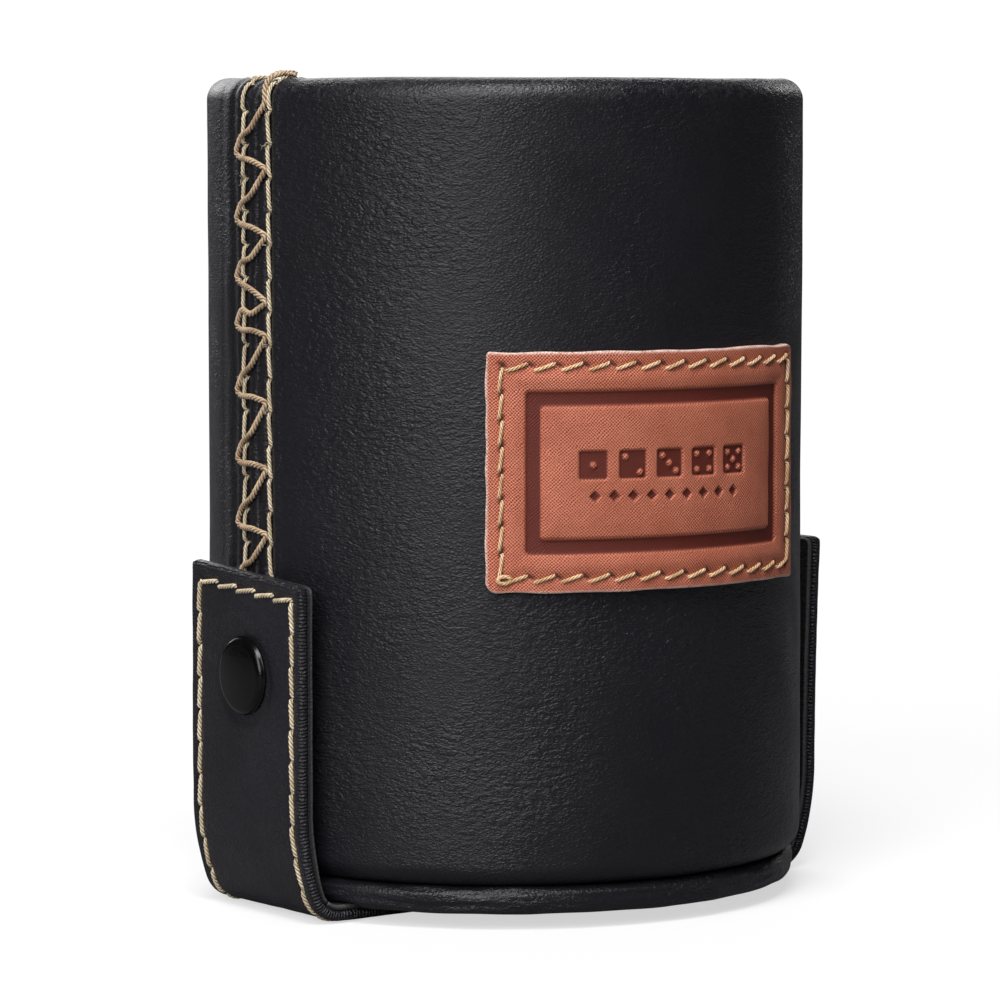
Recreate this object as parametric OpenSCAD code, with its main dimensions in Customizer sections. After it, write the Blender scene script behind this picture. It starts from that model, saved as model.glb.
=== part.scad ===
// Leather dice cup with a strap-held base cap over a hidden dice compartment.
// Millimetres, +Z up. The origin is on the table, under the cup's axis.
// The label faces -Y, the laced seam faces -X, and the strap runs along X.

/* [Cup] */
// Outside diameter of the leather-covered cup
cup_d = 86; // [80:1:92]
// Height of the rim above the table
rim_z = 117; // [108:1:125]
// Radius of the rolled outer corner at the rim and at the foot
roll_r = 3; // [2.5:0.1:3.5]
// Thickness of the black cover leather
cover_t = 1.4; // [1.2:0.1:1.6]
// Thickness of the stiff tube inside the wall
tube_t = 3.4; // [3:0.1:3.8]
// Thickness of the lining leather
lining_t = 1.2; // [1:0.1:1.4]
// How far the cover is turned in over the rim and under the foot
turn_in = 10; // [8:1:12]

/* [Dice compartment] */
// Clear depth of the compartment, enough for 16 mm dice
pocket_h = 18; // [17:0.5:20]
// Thickness of the board that parts the cup from the compartment
partition_t = 2.4; // [2:0.1:3]

/* [Base cap] */
// Diameter of the leather-covered base disc
base_d = 84; // [82:0.5:84]
// Thickness of the base disc
base_t = 3.3; // [3:0.1:3.6]
// Thickness of the locating pad that enters the tube
pad_t = 1.5; // [1:0.1:2]

/* [Strap] */
// Width of the strap and of its two tabs
strap_w = 28.2; // [26:0.1:30]
// Thickness of the strap's outer leather
strap_leather_t = 1.4; // [1.2:0.1:1.6]
// Thickness of the strap's lining
strap_lining_t = 1; // [0.8:0.1:1.2]
// Outer radius of the fold between the base and a tab
fold_r = 5; // [4.8:0.1:5.4]
// Height of a tab's top edge above the table
tab_z = 49; // [46:1:52]
// Distance of the strap's centre line from the cup's axis, towards the front
strap_off = 1.5; // [0:0.1:2]

/* [Snap fasteners] */
// Height of the snap fasteners above the table
snap_z = 33.6; // [32:0.1:36]
// Diameter of the domed snap cap
snap_cap_d = 11.2; // [10:0.1:12]
// Diameter of the stud's nub
snap_nub_d = 3.6; // [3.2:0.1:3.8]

/* [Label] */
// Width of the label, measured around the cup
label_w = 52.5; // [48:0.5:56]
// Height of the label
label_h = 33; // [30:0.5:36]
// Height of the label's middle above the table
label_z = 63.2; // [60:0.1:66]
// Angle of the label's middle from the front, seen from above
label_turn = -4.5; // [-8:0.5:8]
// Thickness of the label leather
label_t = 1.3; // [1:0.1:1.5]

/* [Stitching] */
// Diameter of the waxed thread
thread_d = 0.8; // [0.6:0.1:1]
// Length of one stitch, hole to hole, on the strap and the seam
stitch = 4.65; // [4.2:0.05:5]
// Distance of each seam row from the middle of the seam
seam_row = 3.2; // [2.8:0.1:3.6]

/* [Hidden] */
$fn = 0;
$fa = 3;
$fs = 0.4;
glue = 0.1;
cup_r = cup_d / 2;
tube_out = cup_r - cover_t - glue;
tube_in = tube_out - tube_t;
lining_out = tube_in - glue;
bore_r = lining_out - lining_t;
strap_t = strap_leather_t + strap_lining_t;
base_r = base_d / 2;
base_top = strap_t + base_t;
cup_z = base_top + 0.2;
pad_top = base_top + pad_t;
ceiling_z = pad_top + pocket_h;
felt_t = 0.8;
partition_z = ceiling_z + felt_t + glue;
floor_z = partition_z + partition_t + glue;
floor_t = 1;
tab_x = cup_r + 0.8 + strap_t;
fold_x = tab_x - fold_r;
crease_low = 20;
crease_high = 70;
crease_gap = 0.4;
hole_r = 1.5;
label_r = cup_r + glue / 2;
stud_x = cup_r + glue / 2;
stud_flange_t = 0.35;
nub_h = 1.25;
socket_r = 4.6;
socket_t = 1.5;
socket_hole_r = 2.9;
tab_inner_x = tab_x - strap_t;
seam_first_z = cup_z + 5;
seam_count = floor((rim_z - roll_r - seam_first_z) / stitch);
row_inset = 2.2;
tab_stitches = floor((tab_z - fold_r - 3) / stitch);

// ---- shapes that several pieces share ----

// A rectangle from p to q with all four corners rounded.
module round_rect(p, q, r) {
    translate([p.x + r, p.y]) square([q.x - p.x - 2 * r, q.y - p.y]);
    translate([p.x, p.y + r]) square([q.x - p.x, q.y - p.y - 2 * r]);
    for (x = [p.x + r, q.x - r], y = [p.y + r, q.y - r])
        translate([x, y]) circle(r = r);
}

// A ring around the cup's axis, between two radii and two heights.
module ring(r_in, r_out, z0, z1) {
    rotate_extrude()
        translate([r_in, z0]) square([r_out - r_in, z1 - z0]);
}

// A round rod from point p to point q.
module rod(p, q, d) {
    v = q - p;
    translate(p)
        rotate([0, acos(v.z / norm(v)), atan2(v.y, v.x)])
            cylinder(d = d, h = norm(v));
}

// Turns children that lie along +X to the left or the right end of the strap.
module strap_end(side) {
    translate([0, -strap_off, 0])
        mirror([side == "left" ? 1 : 0, 0, 0]) children();
}

// A cylinder along X, centred on the snap, between two distances from the axis.
module snap_cyl(r, x0, x1) {
    translate([x0, 0, snap_z]) rotate([0, 90, 0]) cylinder(r = r, h = x1 - x0);
}

// Part of the rounded fold, between two radii and two angles from straight down.
module fold_sector(r0, r1, a0, a1) {
    translate([fold_x, 0, fold_r])
        rotate([90, 0, 0])
            rotate([0, 0, a0 - 90])
                rotate_extrude(angle = a1 - a0)
                    translate([r0, -strap_w / 2]) square([r1 - r0, strap_w]);
}

// One layer of a tab, from its crease up to its rounded top, between two distances from the axis.
module tab_layer(x0, x1) {
    corner = 1.5;
    half = strap_w / 2;
    intersection() {
        translate([0, half, 0]) rotate([90, 0, 0]) linear_extrude(strap_w) {
            translate([x0, fold_r - 0.01]) square([x1 - x0, tab_z - fold_r + 0.01]);
            translate([fold_x, fold_r]) intersection() {
                difference() {
                    circle(r = x1 - fold_x);
                    circle(r = x0 - fold_x);
                }
                rotate(crease_high + crease_gap - 90) square([fold_r, fold_r]);
                translate([0, -fold_r]) square(fold_r);
            }
        }
        translate([x0 - 5, 0, 0]) rotate([90, 0, 90])
            linear_extrude(10) round_rect([-half, 0], [half, tab_z], corner);
    }
}

// ---- cup body ----

// Stiff fibre tube that gives the wall its shape.
module core_tube() {
    color("peru") difference() {
        rotate_extrude()
            round_rect([tube_in, cup_z + cover_t + glue],
                       [tube_out, rim_z - cover_t - glue], roll_r - cover_t);
        for (side = ["left", "right"]) strap_end(side) {
            snap_cyl(hole_r, tube_in - 1, tube_out + 1);
            snap_cyl(4.1, tube_in - 1, tube_in + 0.8);
        }
    }
}

// Black cover leather, wrapped around the tube, turned in at both ends and open at the seam.
module outer_cover() {
    window_low = cup_z + turn_in;
    window_high = rim_z - turn_in;
    color("#1c1c1f") difference() {
        rotate_extrude() difference() {
            round_rect([bore_r, cup_z], [cup_r, rim_z], roll_r);
            round_rect([lining_out, cup_z + cover_t], [cup_r - cover_t, rim_z - cover_t],
                       roll_r - cover_t);
            translate([bore_r - 1, window_low])
                square([lining_out - bore_r + 1.5, window_high - window_low]);
        }
        translate([-cup_r - 1, -0.4, 0]) cube([cup_r - bore_r + 2, 0.8, rim_z + 1]);
        for (side = ["left", "right"]) strap_end(side)
            snap_cyl(hole_r, tube_out - 1, cup_r + 1);
    }
}

// Lining of the throwing cup, between its floor and the turned-in rim.
module mouth_lining() {
    color("#3a2f2a") ring(bore_r, lining_out, floor_z, rim_z - turn_in - glue);
}

// Board glued across the tube, the cup's floor and the compartment's ceiling.
module partition_board() {
    color("tan") translate([0, 0, partition_z]) cylinder(r = lining_out, h = partition_t);
}

// Padded disc on the cup's floor.
module floor_lining() {
    color("#3a2f2a") translate([0, 0, floor_z]) cylinder(r = bore_r - glue, h = floor_t);
}

// Thin disc under the partition.
module ceiling_lining() {
    color("#3a2f2a") translate([0, 0, ceiling_z]) cylinder(r = bore_r - glue, h = felt_t);
}

// Lining of the compartment's wall, above the turned-in foot.
module compartment_lining() {
    color("#3a2f2a") ring(bore_r, lining_out, cup_z + turn_in + glue, partition_z - glue);
}

// One running-stitch row beside the seam. It leaves a space where the snap's stud sits.
module seam_row_at(y) {
    a = asin(y / cup_r);
    for (i = [0 : seam_count - 1]) {
        z = seam_first_z + i * stitch;
        if (abs(z + stitch / 2 - snap_z) > 6.5)
            rotate([0, 0, 180 - a])
                translate([cup_r + 0.05, 0, z + 0.45])
                    cylinder(d = thread_d, h = stitch - 0.9);
    }
}

module seam_thread_front() {
    color("#d8cba8") seam_row_at(-seam_row);
}

module seam_thread_back() {
    color("#d8cba8") seam_row_at(seam_row);
}

// Point on the cup's side at height z, a distance y along the circumference from the seam.
function seam_point(y, z) =
    let (a = 180 - y / cup_r * 180 / PI, r = cup_r + 0.1)
    [r * cos(a), r * sin(a), z];

// Lace that draws the two edges together, one long and one short reach for every two stitches.
module seam_lace() {
    reach = seam_row - 0.3;
    turns = floor((seam_count - 1) / 2);
    drop = 1.45 * stitch;
    color("#c9a76a")
        for (i = [0 : turns - 1]) {
            z = seam_first_z + (seam_count - 2 * i) * stitch;
            if (z > snap_z + 15 || z < snap_z - 7) {
                rod(seam_point(-reach, z), seam_point(reach, z - drop), thread_d);
                rod(seam_point(reach, z - drop), seam_point(-reach, z - 2 * stitch), thread_d);
            }
        }
}

// Upright rounded rectangle on the label's middle, run out through the label's thickness.
module label_outline(w, h, r) {
    half = cup_r * sin(w / cup_r * 90 / PI);
    rotate([0, 0, label_turn])
        translate([0, 0, label_z])
            rotate([90, 0, 0])
                linear_extrude(cup_r + 5) round_rect([-half, -h / 2], [half, h / 2], r);
}

// Tan leather label, wrapped to the cup, with a pressed frame.
module label_patch() {
    frame_in = 5.3;
    frame_w = 2.1;
    press = 0.4;
    color("#b5714f") difference() {
        intersection() {
            ring(label_r, label_r + label_t, label_z - label_h, label_z + label_h);
            label_outline(label_w, label_h, 2);
        }
        intersection() {
            ring(label_r + label_t - press, label_r + label_t + 2,
                 label_z - label_h, label_z + label_h);
            difference() {
                label_outline(label_w - 2 * frame_in, label_h - 2 * frame_in, 1);
                label_outline(label_w - 2 * (frame_in + frame_w),
                              label_h - 2 * (frame_in + frame_w), 0.8);
            }
        }
    }
}

// Straw-coloured stitches around the label's edge.
module label_thread() {
    across = 13;
    up = 8;
    w = label_w - 4;
    h = label_h - 4;
    r = label_r + label_t + 0.05;
    step = w / across / cup_r * 180 / PI;
    color("#d8cba8") rotate([0, 0, label_turn - 90]) {
        for (i = [0 : across - 1], z = [label_z - h / 2, label_z + h / 2])
            rotate([0, 0, (i - (across - 1) / 2) * step])
                translate([r, 0, z]) rotate([90, 0, 0])
                    cylinder(d = thread_d * 0.8, h = w / across - 0.9, center = true);
        for (i = [0 : up - 1], s = [-1, 1])
            rotate([0, 0, s * across / 2 * step])
                translate([r, 0, label_z - h / 2 + (i + 0.5) * h / up])
                    cylinder(d = thread_d * 0.8, h = h / up - 0.8, center = true);
    }
}

// Snap studs on the cup, one under each tab: a thin flange and a domed nub.
module snap_studs() {
    r = snap_nub_d / 2;
    color("#8f9093")
        for (side = ["left", "right"]) strap_end(side) {
            snap_cyl(4, stud_x, stud_x + stud_flange_t);
            snap_cyl(r, stud_x, stud_x + stud_flange_t + nub_h - 0.7);
            translate([stud_x + stud_flange_t + nub_h - 0.7, 0, snap_z])
                rotate([0, 90, 0]) cylinder(r1 = r, r2 = 0.55 * r, h = 0.7);
        }
}

// Rivets that hold the studs from inside the wall, under the lining.
module snap_posts() {
    color("#8f9093")
        for (side = ["left", "right"]) strap_end(side) {
            snap_cyl(4, tube_in + 0.1, tube_in + 0.7);
            snap_cyl(hole_r - 0.1, tube_in + 0.1, stud_x);
        }
}

// ---- base cap ----

// Stiff board inside the base disc.
module base_board() {
    color("peru") translate([0, 0, strap_t + 1.05]) cylinder(r = base_r - 1.5, h = base_t - 2.1);
}

// Black leather drawn over the board's underside and edge, and turned in on top.
module base_cover() {
    color("#1c1c1f") rotate_extrude() difference() {
        intersection() {
            translate([0, strap_t]) square([base_r, base_t]);
            round_rect([-base_r, strap_t], [base_r, base_top], base_t / 2 - 0.1);
        }
        translate([-1, strap_t + 1]) square([base_r - 0.4, base_t - 2]);
        translate([-1, strap_t + 1]) square([base_r - 7, base_t]);
    }
}

// Felted pad that fills the turned-in leather and locates the cap in the tube.
module base_pad() {
    color("#3a2f2a") {
        translate([0, 0, base_top - 0.95]) cylinder(r = base_r - 8.1, h = 1);
        translate([0, 0, base_top]) cylinder(r = bore_r - 0.5, h = pad_t);
    }
}

// ---- strap ----

// The stretch of one strap layer under the base disc, with the first part of both folds.
module strap_run(z0, z1) {
    translate([-fold_x, -strap_w / 2 - strap_off, z0]) cube([2 * fold_x, strap_w, z1 - z0]);
    for (side = ["left", "right"])
        strap_end(side) fold_sector(fold_r - z1, fold_r - z0, 0, crease_low - crease_gap);
}

// Outer leather of the strap, with two grooves on its underside for the thread.
module strap_leather() {
    color("#1c1c1f") difference() {
        strap_run(0, strap_leather_t);
        for (s = [-1, 1])
            translate([-fold_x + 2, s * (strap_w / 2 - row_inset) - strap_off - 0.5, -1])
                cube([2 * fold_x - 4, 1, 1 + thread_d]);
    }
}

module strap_lining() {
    color("#26262a") strap_run(strap_leather_t, strap_t);
}

// Stitches sunk in the underside's grooves.
module strap_thread() {
    count = floor((2 * fold_x - 5) / stitch);
    color("#d8cba8")
        for (i = [0 : count - 1], s = [-1, 1])
            translate([(i - count / 2) * stitch + 0.4,
                       s * (strap_w / 2 - row_inset) - strap_off, thread_d / 2 + 0.05])
                rotate([0, 90, 0]) cylinder(d = thread_d - 0.1, h = stitch - 0.8);
}

// The middle of one fold, between the two creases.
module fold_layer(side, z0, z1) {
    strap_end(side) fold_sector(fold_r - z1, fold_r - z0, crease_low, crease_high);
}

module fold_leather(side) {
    color("#1c1c1f") fold_layer(side, 0, strap_leather_t);
}

module fold_lining(side) {
    color("#26262a") fold_layer(side, strap_leather_t, strap_t);
}

// Outer leather of a tab, bored for the snap cap's stem and sunk for the socket.
module tab_leather(side) {
    inner = tab_x - strap_leather_t;
    color("#1c1c1f") strap_end(side) difference() {
        tab_layer(inner, tab_x);
        snap_cyl(hole_r, inner - 1, tab_x + 1);
        snap_cyl(socket_r + 0.1, inner - 1, tab_inner_x + socket_t + 0.05);
    }
}

module tab_lining(side) {
    color("#26262a") strap_end(side) difference() {
        tab_layer(tab_inner_x, tab_x - strap_leather_t);
        snap_cyl(socket_r + 0.1, tab_inner_x - 1, tab_x);
    }
}

// Stitches up both edges of a tab and across its top.
module tab_thread(side) {
    y_row = strap_w / 2 - row_inset;
    top_row = tab_z - 2.7;
    across = 5;
    span = 2 * y_row / across;
    color("#d8cba8") strap_end(side) {
        for (i = [0 : tab_stitches - 1], s = [-1, 1])
            translate([tab_x, s * y_row, top_row - (i + 1) * stitch + 0.4])
                cylinder(d = thread_d, h = stitch - 0.8);
        for (i = [0 : across - 1])
            translate([tab_x, -y_row + (i + 0.5) * span, top_row])
                rotate([90, 0, 0]) cylinder(d = thread_d, h = span - 0.9, center = true);
    }
}

// Domed cap of a snap fastener, with the stem that is pressed through the leather.
module snap_cap(side) {
    r = snap_cap_d / 2;
    rim = 0.5;
    step = r / 4;
    color("#151517") strap_end(side) {
        snap_cyl(r, tab_x, tab_x + rim);
        for (i = [0 : 2])
            translate([tab_x + rim + i * 0.3, 0, snap_z]) rotate([0, 90, 0])
                cylinder(r1 = r - (i * i) * step / 3, r2 = r - (i + 1) * (i + 1) * step / 3, h = 0.3);
        snap_cyl(hole_r - 0.05, tab_inner_x + socket_t, tab_x);
    }
}

// Socket on the tab's back, with a groove for the spring ring.
module snap_socket(side) {
    color("#8f9093") strap_end(side) difference() {
        snap_cyl(socket_r, tab_inner_x, tab_inner_x + socket_t);
        snap_cyl(socket_hole_r, tab_inner_x - 1, tab_inner_x + socket_t - 0.3);
        snap_cyl(socket_hole_r + 0.6, tab_inner_x + 0.25, tab_inner_x + 0.85);
    }
}

// Spring ring in the socket's groove.
module snap_spring(side) {
    color("#b9babd") strap_end(side)
        translate([tab_inner_x + 0.55, 0, snap_z])
            rotate([0, 90, 0])
                rotate_extrude() translate([socket_hole_r + 0.28, 0]) circle(r = 0.22);
}

core_tube();
outer_cover();
mouth_lining();
partition_board();
floor_lining();
ceiling_lining();
compartment_lining();
seam_thread_front();
seam_thread_back();
seam_lace();
label_patch();
label_thread();
snap_studs();
snap_posts();
base_board();
base_cover();
base_pad();
strap_leather();
strap_lining();
strap_thread();
fold_leather("left");  // fold_leather_left
fold_lining("left");  // fold_lining_left
fold_leather("right");  // fold_leather_right
fold_lining("right");  // fold_lining_right
tab_leather("left");  // tab_leather_left
tab_lining("left");  // tab_lining_left
tab_thread("left");  // tab_thread_left
snap_cap("left");  // snap_cap_left
snap_socket("left");  // snap_socket_left
snap_spring("left");  // snap_spring_left
tab_leather("right");  // tab_leather_right
tab_lining("right");  // tab_lining_right
tab_thread("right");  // tab_thread_right
snap_cap("right");  // snap_cap_right
snap_socket("right");  // snap_socket_right
snap_spring("right");  // snap_spring_right
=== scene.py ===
import math

import bpy
import numpy as np
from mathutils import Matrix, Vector


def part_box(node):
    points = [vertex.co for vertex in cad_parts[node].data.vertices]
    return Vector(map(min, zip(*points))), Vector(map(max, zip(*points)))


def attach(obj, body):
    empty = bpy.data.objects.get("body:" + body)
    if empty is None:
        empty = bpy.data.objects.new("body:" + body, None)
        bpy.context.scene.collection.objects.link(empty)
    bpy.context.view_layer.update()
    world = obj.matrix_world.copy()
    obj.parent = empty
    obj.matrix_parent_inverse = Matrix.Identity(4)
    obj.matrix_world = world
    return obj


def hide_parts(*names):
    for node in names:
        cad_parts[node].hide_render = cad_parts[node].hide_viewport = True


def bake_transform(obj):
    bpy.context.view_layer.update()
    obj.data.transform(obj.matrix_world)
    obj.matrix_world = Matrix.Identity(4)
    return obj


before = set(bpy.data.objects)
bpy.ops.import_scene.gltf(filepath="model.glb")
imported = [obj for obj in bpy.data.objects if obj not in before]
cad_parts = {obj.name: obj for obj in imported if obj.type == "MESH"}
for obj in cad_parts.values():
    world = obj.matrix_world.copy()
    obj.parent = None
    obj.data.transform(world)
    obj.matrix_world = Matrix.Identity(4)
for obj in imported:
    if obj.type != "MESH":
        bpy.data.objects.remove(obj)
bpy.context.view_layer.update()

mm = 0.001


# ---- Camera, floor and light ----
# The camera stands a little above the rim, turned towards the laced seam, and looks slightly
# down. The cup stands on a pale table under a large soft light on the left, with weaker ones
# above and behind.
camera_turn = math.radians(-36)
camera_distance = 688 * mm
camera_height = 112.5 * mm
camera_tilt = math.radians(4.70)
camera_yaw = math.radians(0.06)
camera_data = bpy.data.cameras.new("camera")
camera_data.sensor_width = 36
camera_data.lens = 170.6
camera_data.clip_start = 0.01
camera = bpy.data.objects.new("camera", camera_data)
bpy.context.collection.objects.link(camera)
camera.location = (math.sin(camera_turn) * camera_distance,
                   -math.cos(camera_turn) * camera_distance, camera_height)
heading = -camera_turn - camera_yaw
look = Vector((math.sin(heading) * math.cos(camera_tilt),
               math.cos(heading) * math.cos(camera_tilt), -math.sin(camera_tilt)))
camera.rotation_euler = look.to_track_quat("-Z", "Y").to_euler()
bpy.context.scene.camera = camera
bpy.context.scene.view_settings.view_transform = "Standard"


def new_material(name):
    """A node material with one Principled shader; returns it, its node tree and the shader."""
    material = bpy.data.materials.new(name)
    material.use_nodes = True
    tree = material.node_tree
    return material, tree, tree.nodes["Principled BSDF"]


def floor_mesh(radius, height, rings=24, spokes=96):
    """A flat disc: points at radius * (i / rings) squared on even spokes, closed by a middle
    point."""
    share = (np.arange(1, rings + 1) / rings) ** 2 * radius
    turn = np.arange(spokes) / spokes * 2 * np.pi
    x = share[:, None] * np.cos(turn)
    y = share[:, None] * np.sin(turn)
    points = np.stack([x, y, np.full_like(x, height)], -1).reshape(-1, 3)
    points = np.vstack([[0, 0, height], points])
    j = np.arange(spokes)
    k = (j + 1) % spokes
    fan = np.stack([j * 0, 1 + j, 1 + k], -1)
    low = 1 + np.arange(rings - 1)[:, None] * spokes
    high = low + spokes
    bands = np.stack([low + j, high + j, high + k, low + k], -1).reshape(-1, 4)
    mesh = bpy.data.meshes.new("table_top")
    mesh.from_pydata(points.tolist(), [], fan.tolist() + bands.tolist())
    return mesh


# The strap stands on its stitches, a quarter of a millimetre off the table.
stitch_stand = 0.26 * mm
floor = bpy.data.objects.new("table_top", floor_mesh(12, -stitch_stand))
bpy.context.collection.objects.link(floor)
# Seen directly, the table is pale and glows more with distance from the cup, to a plain white. To
# the light that reaches the cup it is a darker grey.
floor_finish, tree, shader = new_material("pale_table")
link = tree.links.new
shader.inputs["Roughness"].default_value = 0.75
shader.inputs["Specular IOR Level"].default_value = 0.15
distance = tree.nodes.new("ShaderNodeVectorMath")
distance.operation = "LENGTH"
link(tree.nodes.new("ShaderNodeTexCoord").outputs["Object"], distance.inputs[0])
share = tree.nodes.new("ShaderNodeMapRange")
for label, value in (("From Min", 0.06), ("From Max", 0.45), ("To Min", 0.6), ("To Max", 1.0)):
    share.inputs[label].default_value = value
link(distance.outputs["Value"], share.inputs["Value"])
seen = tree.nodes.new("ShaderNodeLightPath").outputs["Is Camera Ray"]
factor = tree.nodes.new("ShaderNodeMath")
factor.operation = "MULTIPLY"
link(share.outputs["Result"], factor.inputs[0])
link(seen, factor.inputs[1])
tone = tree.nodes.new("ShaderNodeMix")
tone.data_type = "RGBA"
tone.inputs["A"].default_value = (0.19, 0.19, 0.20, 1)
tone.inputs["B"].default_value = (0.86, 0.86, 0.87, 1)
link(seen, tone.inputs["Factor"])
link(tone.outputs["Result"], shader.inputs["Base Color"])
glow = tree.nodes.new("ShaderNodeEmission")
glow.inputs["Strength"].default_value = 1.02
both = tree.nodes.new("ShaderNodeMixShader")
for source, socket in ((factor, "Fac"), (shader, 1), (glow, 2)):
    link(source.outputs[0], both.inputs[socket])
link(both.outputs[0], tree.nodes["Material Output"].inputs["Surface"])
floor.data.materials.append(floor_finish)


cup_middle = Vector((0, 0, 60 * mm))


def soft_light(name, place, size, power):
    """A square area light at place, turned to face the cup's middle."""
    data = bpy.data.lights.new(name, "AREA")
    data.shape = "SQUARE"
    data.size = size
    data.energy = power
    lamp = bpy.data.objects.new(name, data)
    bpy.context.collection.objects.link(lamp)
    lamp.location = place
    lamp.rotation_euler = (cup_middle - Vector(place)).to_track_quat("-Z", "Y").to_euler()


def around(turn, distance, height):
    """A place at an angle round the cup: 0 is in front of the label, minus is towards the seam.
    It is the sine and the negative cosine of the angle, times the distance."""
    a = math.radians(turn)
    return (math.sin(a) * distance, -math.cos(a) * distance, height)


soft_light("window_left", around(-57, 1.3, 0.70), 1.0, 19.5)
soft_light("window_front", around(-12, 1.5, 0.8), 0.6, 0.5)
soft_light("ceiling", (-0.42, -0.55, 1.4), 0.6, 19)
soft_light("back_left", around(-186, 1.4, 0.5), 0.5, 3.0)
soft_light("back_right", around(118, 1.4, 0.5), 0.3, 1.0)
soft_light("back_fill", around(150, 1.7, 1.1), 1.2, 14)

# Seen directly, the studio is white; to the light that reaches the cup it is only a weak fill.
sky = bpy.data.worlds.new("studio")
sky.use_nodes = True
bpy.context.scene.world = sky
nodes, link = sky.node_tree.nodes, sky.node_tree.links.new
strength = nodes.new("ShaderNodeMix")
strength.inputs["A"].default_value = 0.034
strength.inputs["B"].default_value = 1.02
link(nodes.new("ShaderNodeLightPath").outputs["Is Camera Ray"], strength.inputs["Factor"])
link(strength.outputs["Result"], nodes["Background"].inputs["Strength"])
nodes["Background"].inputs["Color"].default_value = (1, 1, 1, 1)


# ---- Outer cover ----
# One sheet of black fine-grained leather, drawn round the stiff tube, rolled over the rim and the
# foot and glued down inside. Its two edges meet at the seam, on the side away from +X. Handling
# has polished the roll at the rim, and paler patches painted on it are partly wear and partly a
# painted highlight along the roll.
cover_low, cover_high = (np.array(v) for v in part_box("outer_cover"))
cup_radius = cover_high[0]
foot_z, rim_z = cover_low[2], cover_high[2]
bore_radius = cup_radius - 6.2 * mm
cover_thickness = 1.4 * mm
roll_radius = 3 * mm
turned_in = 10 * mm
row_offset = 3.2 * mm
stitch_length = 4.65 * mm


def wall_outline():
    """The cover's outer face in section, as (radius, height) points from the turned-in edge at
    the rim, over the rim, down the wall, round the foot and up inside. The corners are quarter
    circles, where the radius gains and the height loses one minus a sine or cosine times the
    corner's own."""
    arc = np.linspace(0, np.pi / 2, 13)
    inner = 2.3 * mm
    high, low = rim_z - roll_radius, foot_z + roll_radius
    parts = [
        (np.full(7, bore_radius), np.linspace(rim_z - turned_in, rim_z - inner - 0.6 * mm, 7)),
        (bore_radius + inner * (1 - np.cos(arc)), rim_z - inner * (1 - np.sin(arc))),
        (cup_radius - roll_radius * (1 - np.sin(arc)), rim_z - roll_radius * (1 - np.cos(arc))),
        (np.full(96, cup_radius), np.linspace(high - mm, low + mm, 96)),
        (cup_radius - roll_radius * (1 - np.cos(arc)), foot_z + roll_radius * (1 - np.sin(arc))),
        (bore_radius + inner * (1 - np.sin(arc)), foot_z + inner * (1 - np.cos(arc))),
        (np.full(7, bore_radius), np.linspace(foot_z + inner + 0.6 * mm, foot_z + turned_in, 7)),
    ]
    return np.concatenate([np.stack(p, -1) for p in parts])


def line_normals(points):
    """Unit normals of an open line in the plane, to its left, from differences of its
    neighbours."""
    step = np.gradient(points, axis=0)
    normal = np.stack([-step[:, 1], step[:, 0]], -1)
    return normal / np.linalg.norm(normal, axis=1, keepdims=True)


wall_line = wall_outline()
wall_normal = line_normals(wall_line)
wall_length = np.concatenate([[0], np.cumsum(np.linalg.norm(np.diff(wall_line, axis=0), axis=1))])
rim_length = float(wall_length[np.argmax(wall_line[:, 1])])


def step_up(value, at, width):
    """A smooth rise from 0 to 1, centred on at, over about that width: one over one plus the
    exponential of minus four times the distance past it, in widths."""
    return 1 / (1 + np.exp(-np.clip((value - at) / (width / 4), -60, 60)))


def hump(value, at, width):
    """A smooth bump of height 1, centred on at: the exponential of minus the square of the
    distance from it, in widths."""
    return np.exp(-((value - at) / width) ** 2)


def soft_waves(x, y, z, size, seed):
    """Gentle unevenness, mostly between -1 and 1: a sixth of the sum of twelve sines, each along
    its own direction, with its own length of wave near the size."""
    rng = np.random.default_rng(seed)
    total = np.zeros(np.broadcast(x, y, z).shape)
    for _ in range(12):
        direction = rng.normal(size=3)
        direction *= rng.uniform(0.6, 1.7) / np.linalg.norm(direction)
        phase = rng.uniform(0, 2 * np.pi)
        total += np.sin((x * direction[0] + y * direction[1] + z * direction[2])
                        * 2 * np.pi / size + phase)
    return total / 6


def seam_dip(across, along):
    """Depth of the cover near the seam, against the distance across it: a groove under each row
    of stitches, two rolled edges side by side between them with a slit in the middle, and a soft
    pull in the leather outside the back row. The edges wander a little along the seam."""
    wander = 0.22 * mm * np.sin(along * 310) + 0.12 * mm * np.sin(along * 790 + 1)
    inner = across - wander
    d = np.abs(across)
    groove = -0.42 * mm * hump(d, row_offset, 0.5 * mm)
    swell = 0.18 * mm * hump(d, row_offset + 1.5 * mm, 0.8 * mm)
    hollow = -0.62 * mm * step_up(-d, 0.35 * mm - row_offset, 0.48 * mm)
    roll = 1 - ((np.abs(inner) - 1.25 * mm) / (1.15 * mm)) ** 2
    roll = 0.62 * mm * np.sqrt(np.clip(roll, 0, 1))
    slit = -0.35 * mm * hump(inner, 0, 0.16 * mm)
    pull = (-0.14 * mm * hump(across, 6.3 * mm + wander, 0.8 * mm)
            + 0.10 * mm * hump(across, 8.2 * mm + 2 * wander, 1.1 * mm)
            - 0.07 * mm * hump(across, 10.6 * mm, 1.0 * mm))
    return hollow + groove + swell + roll + slit + pull


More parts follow.
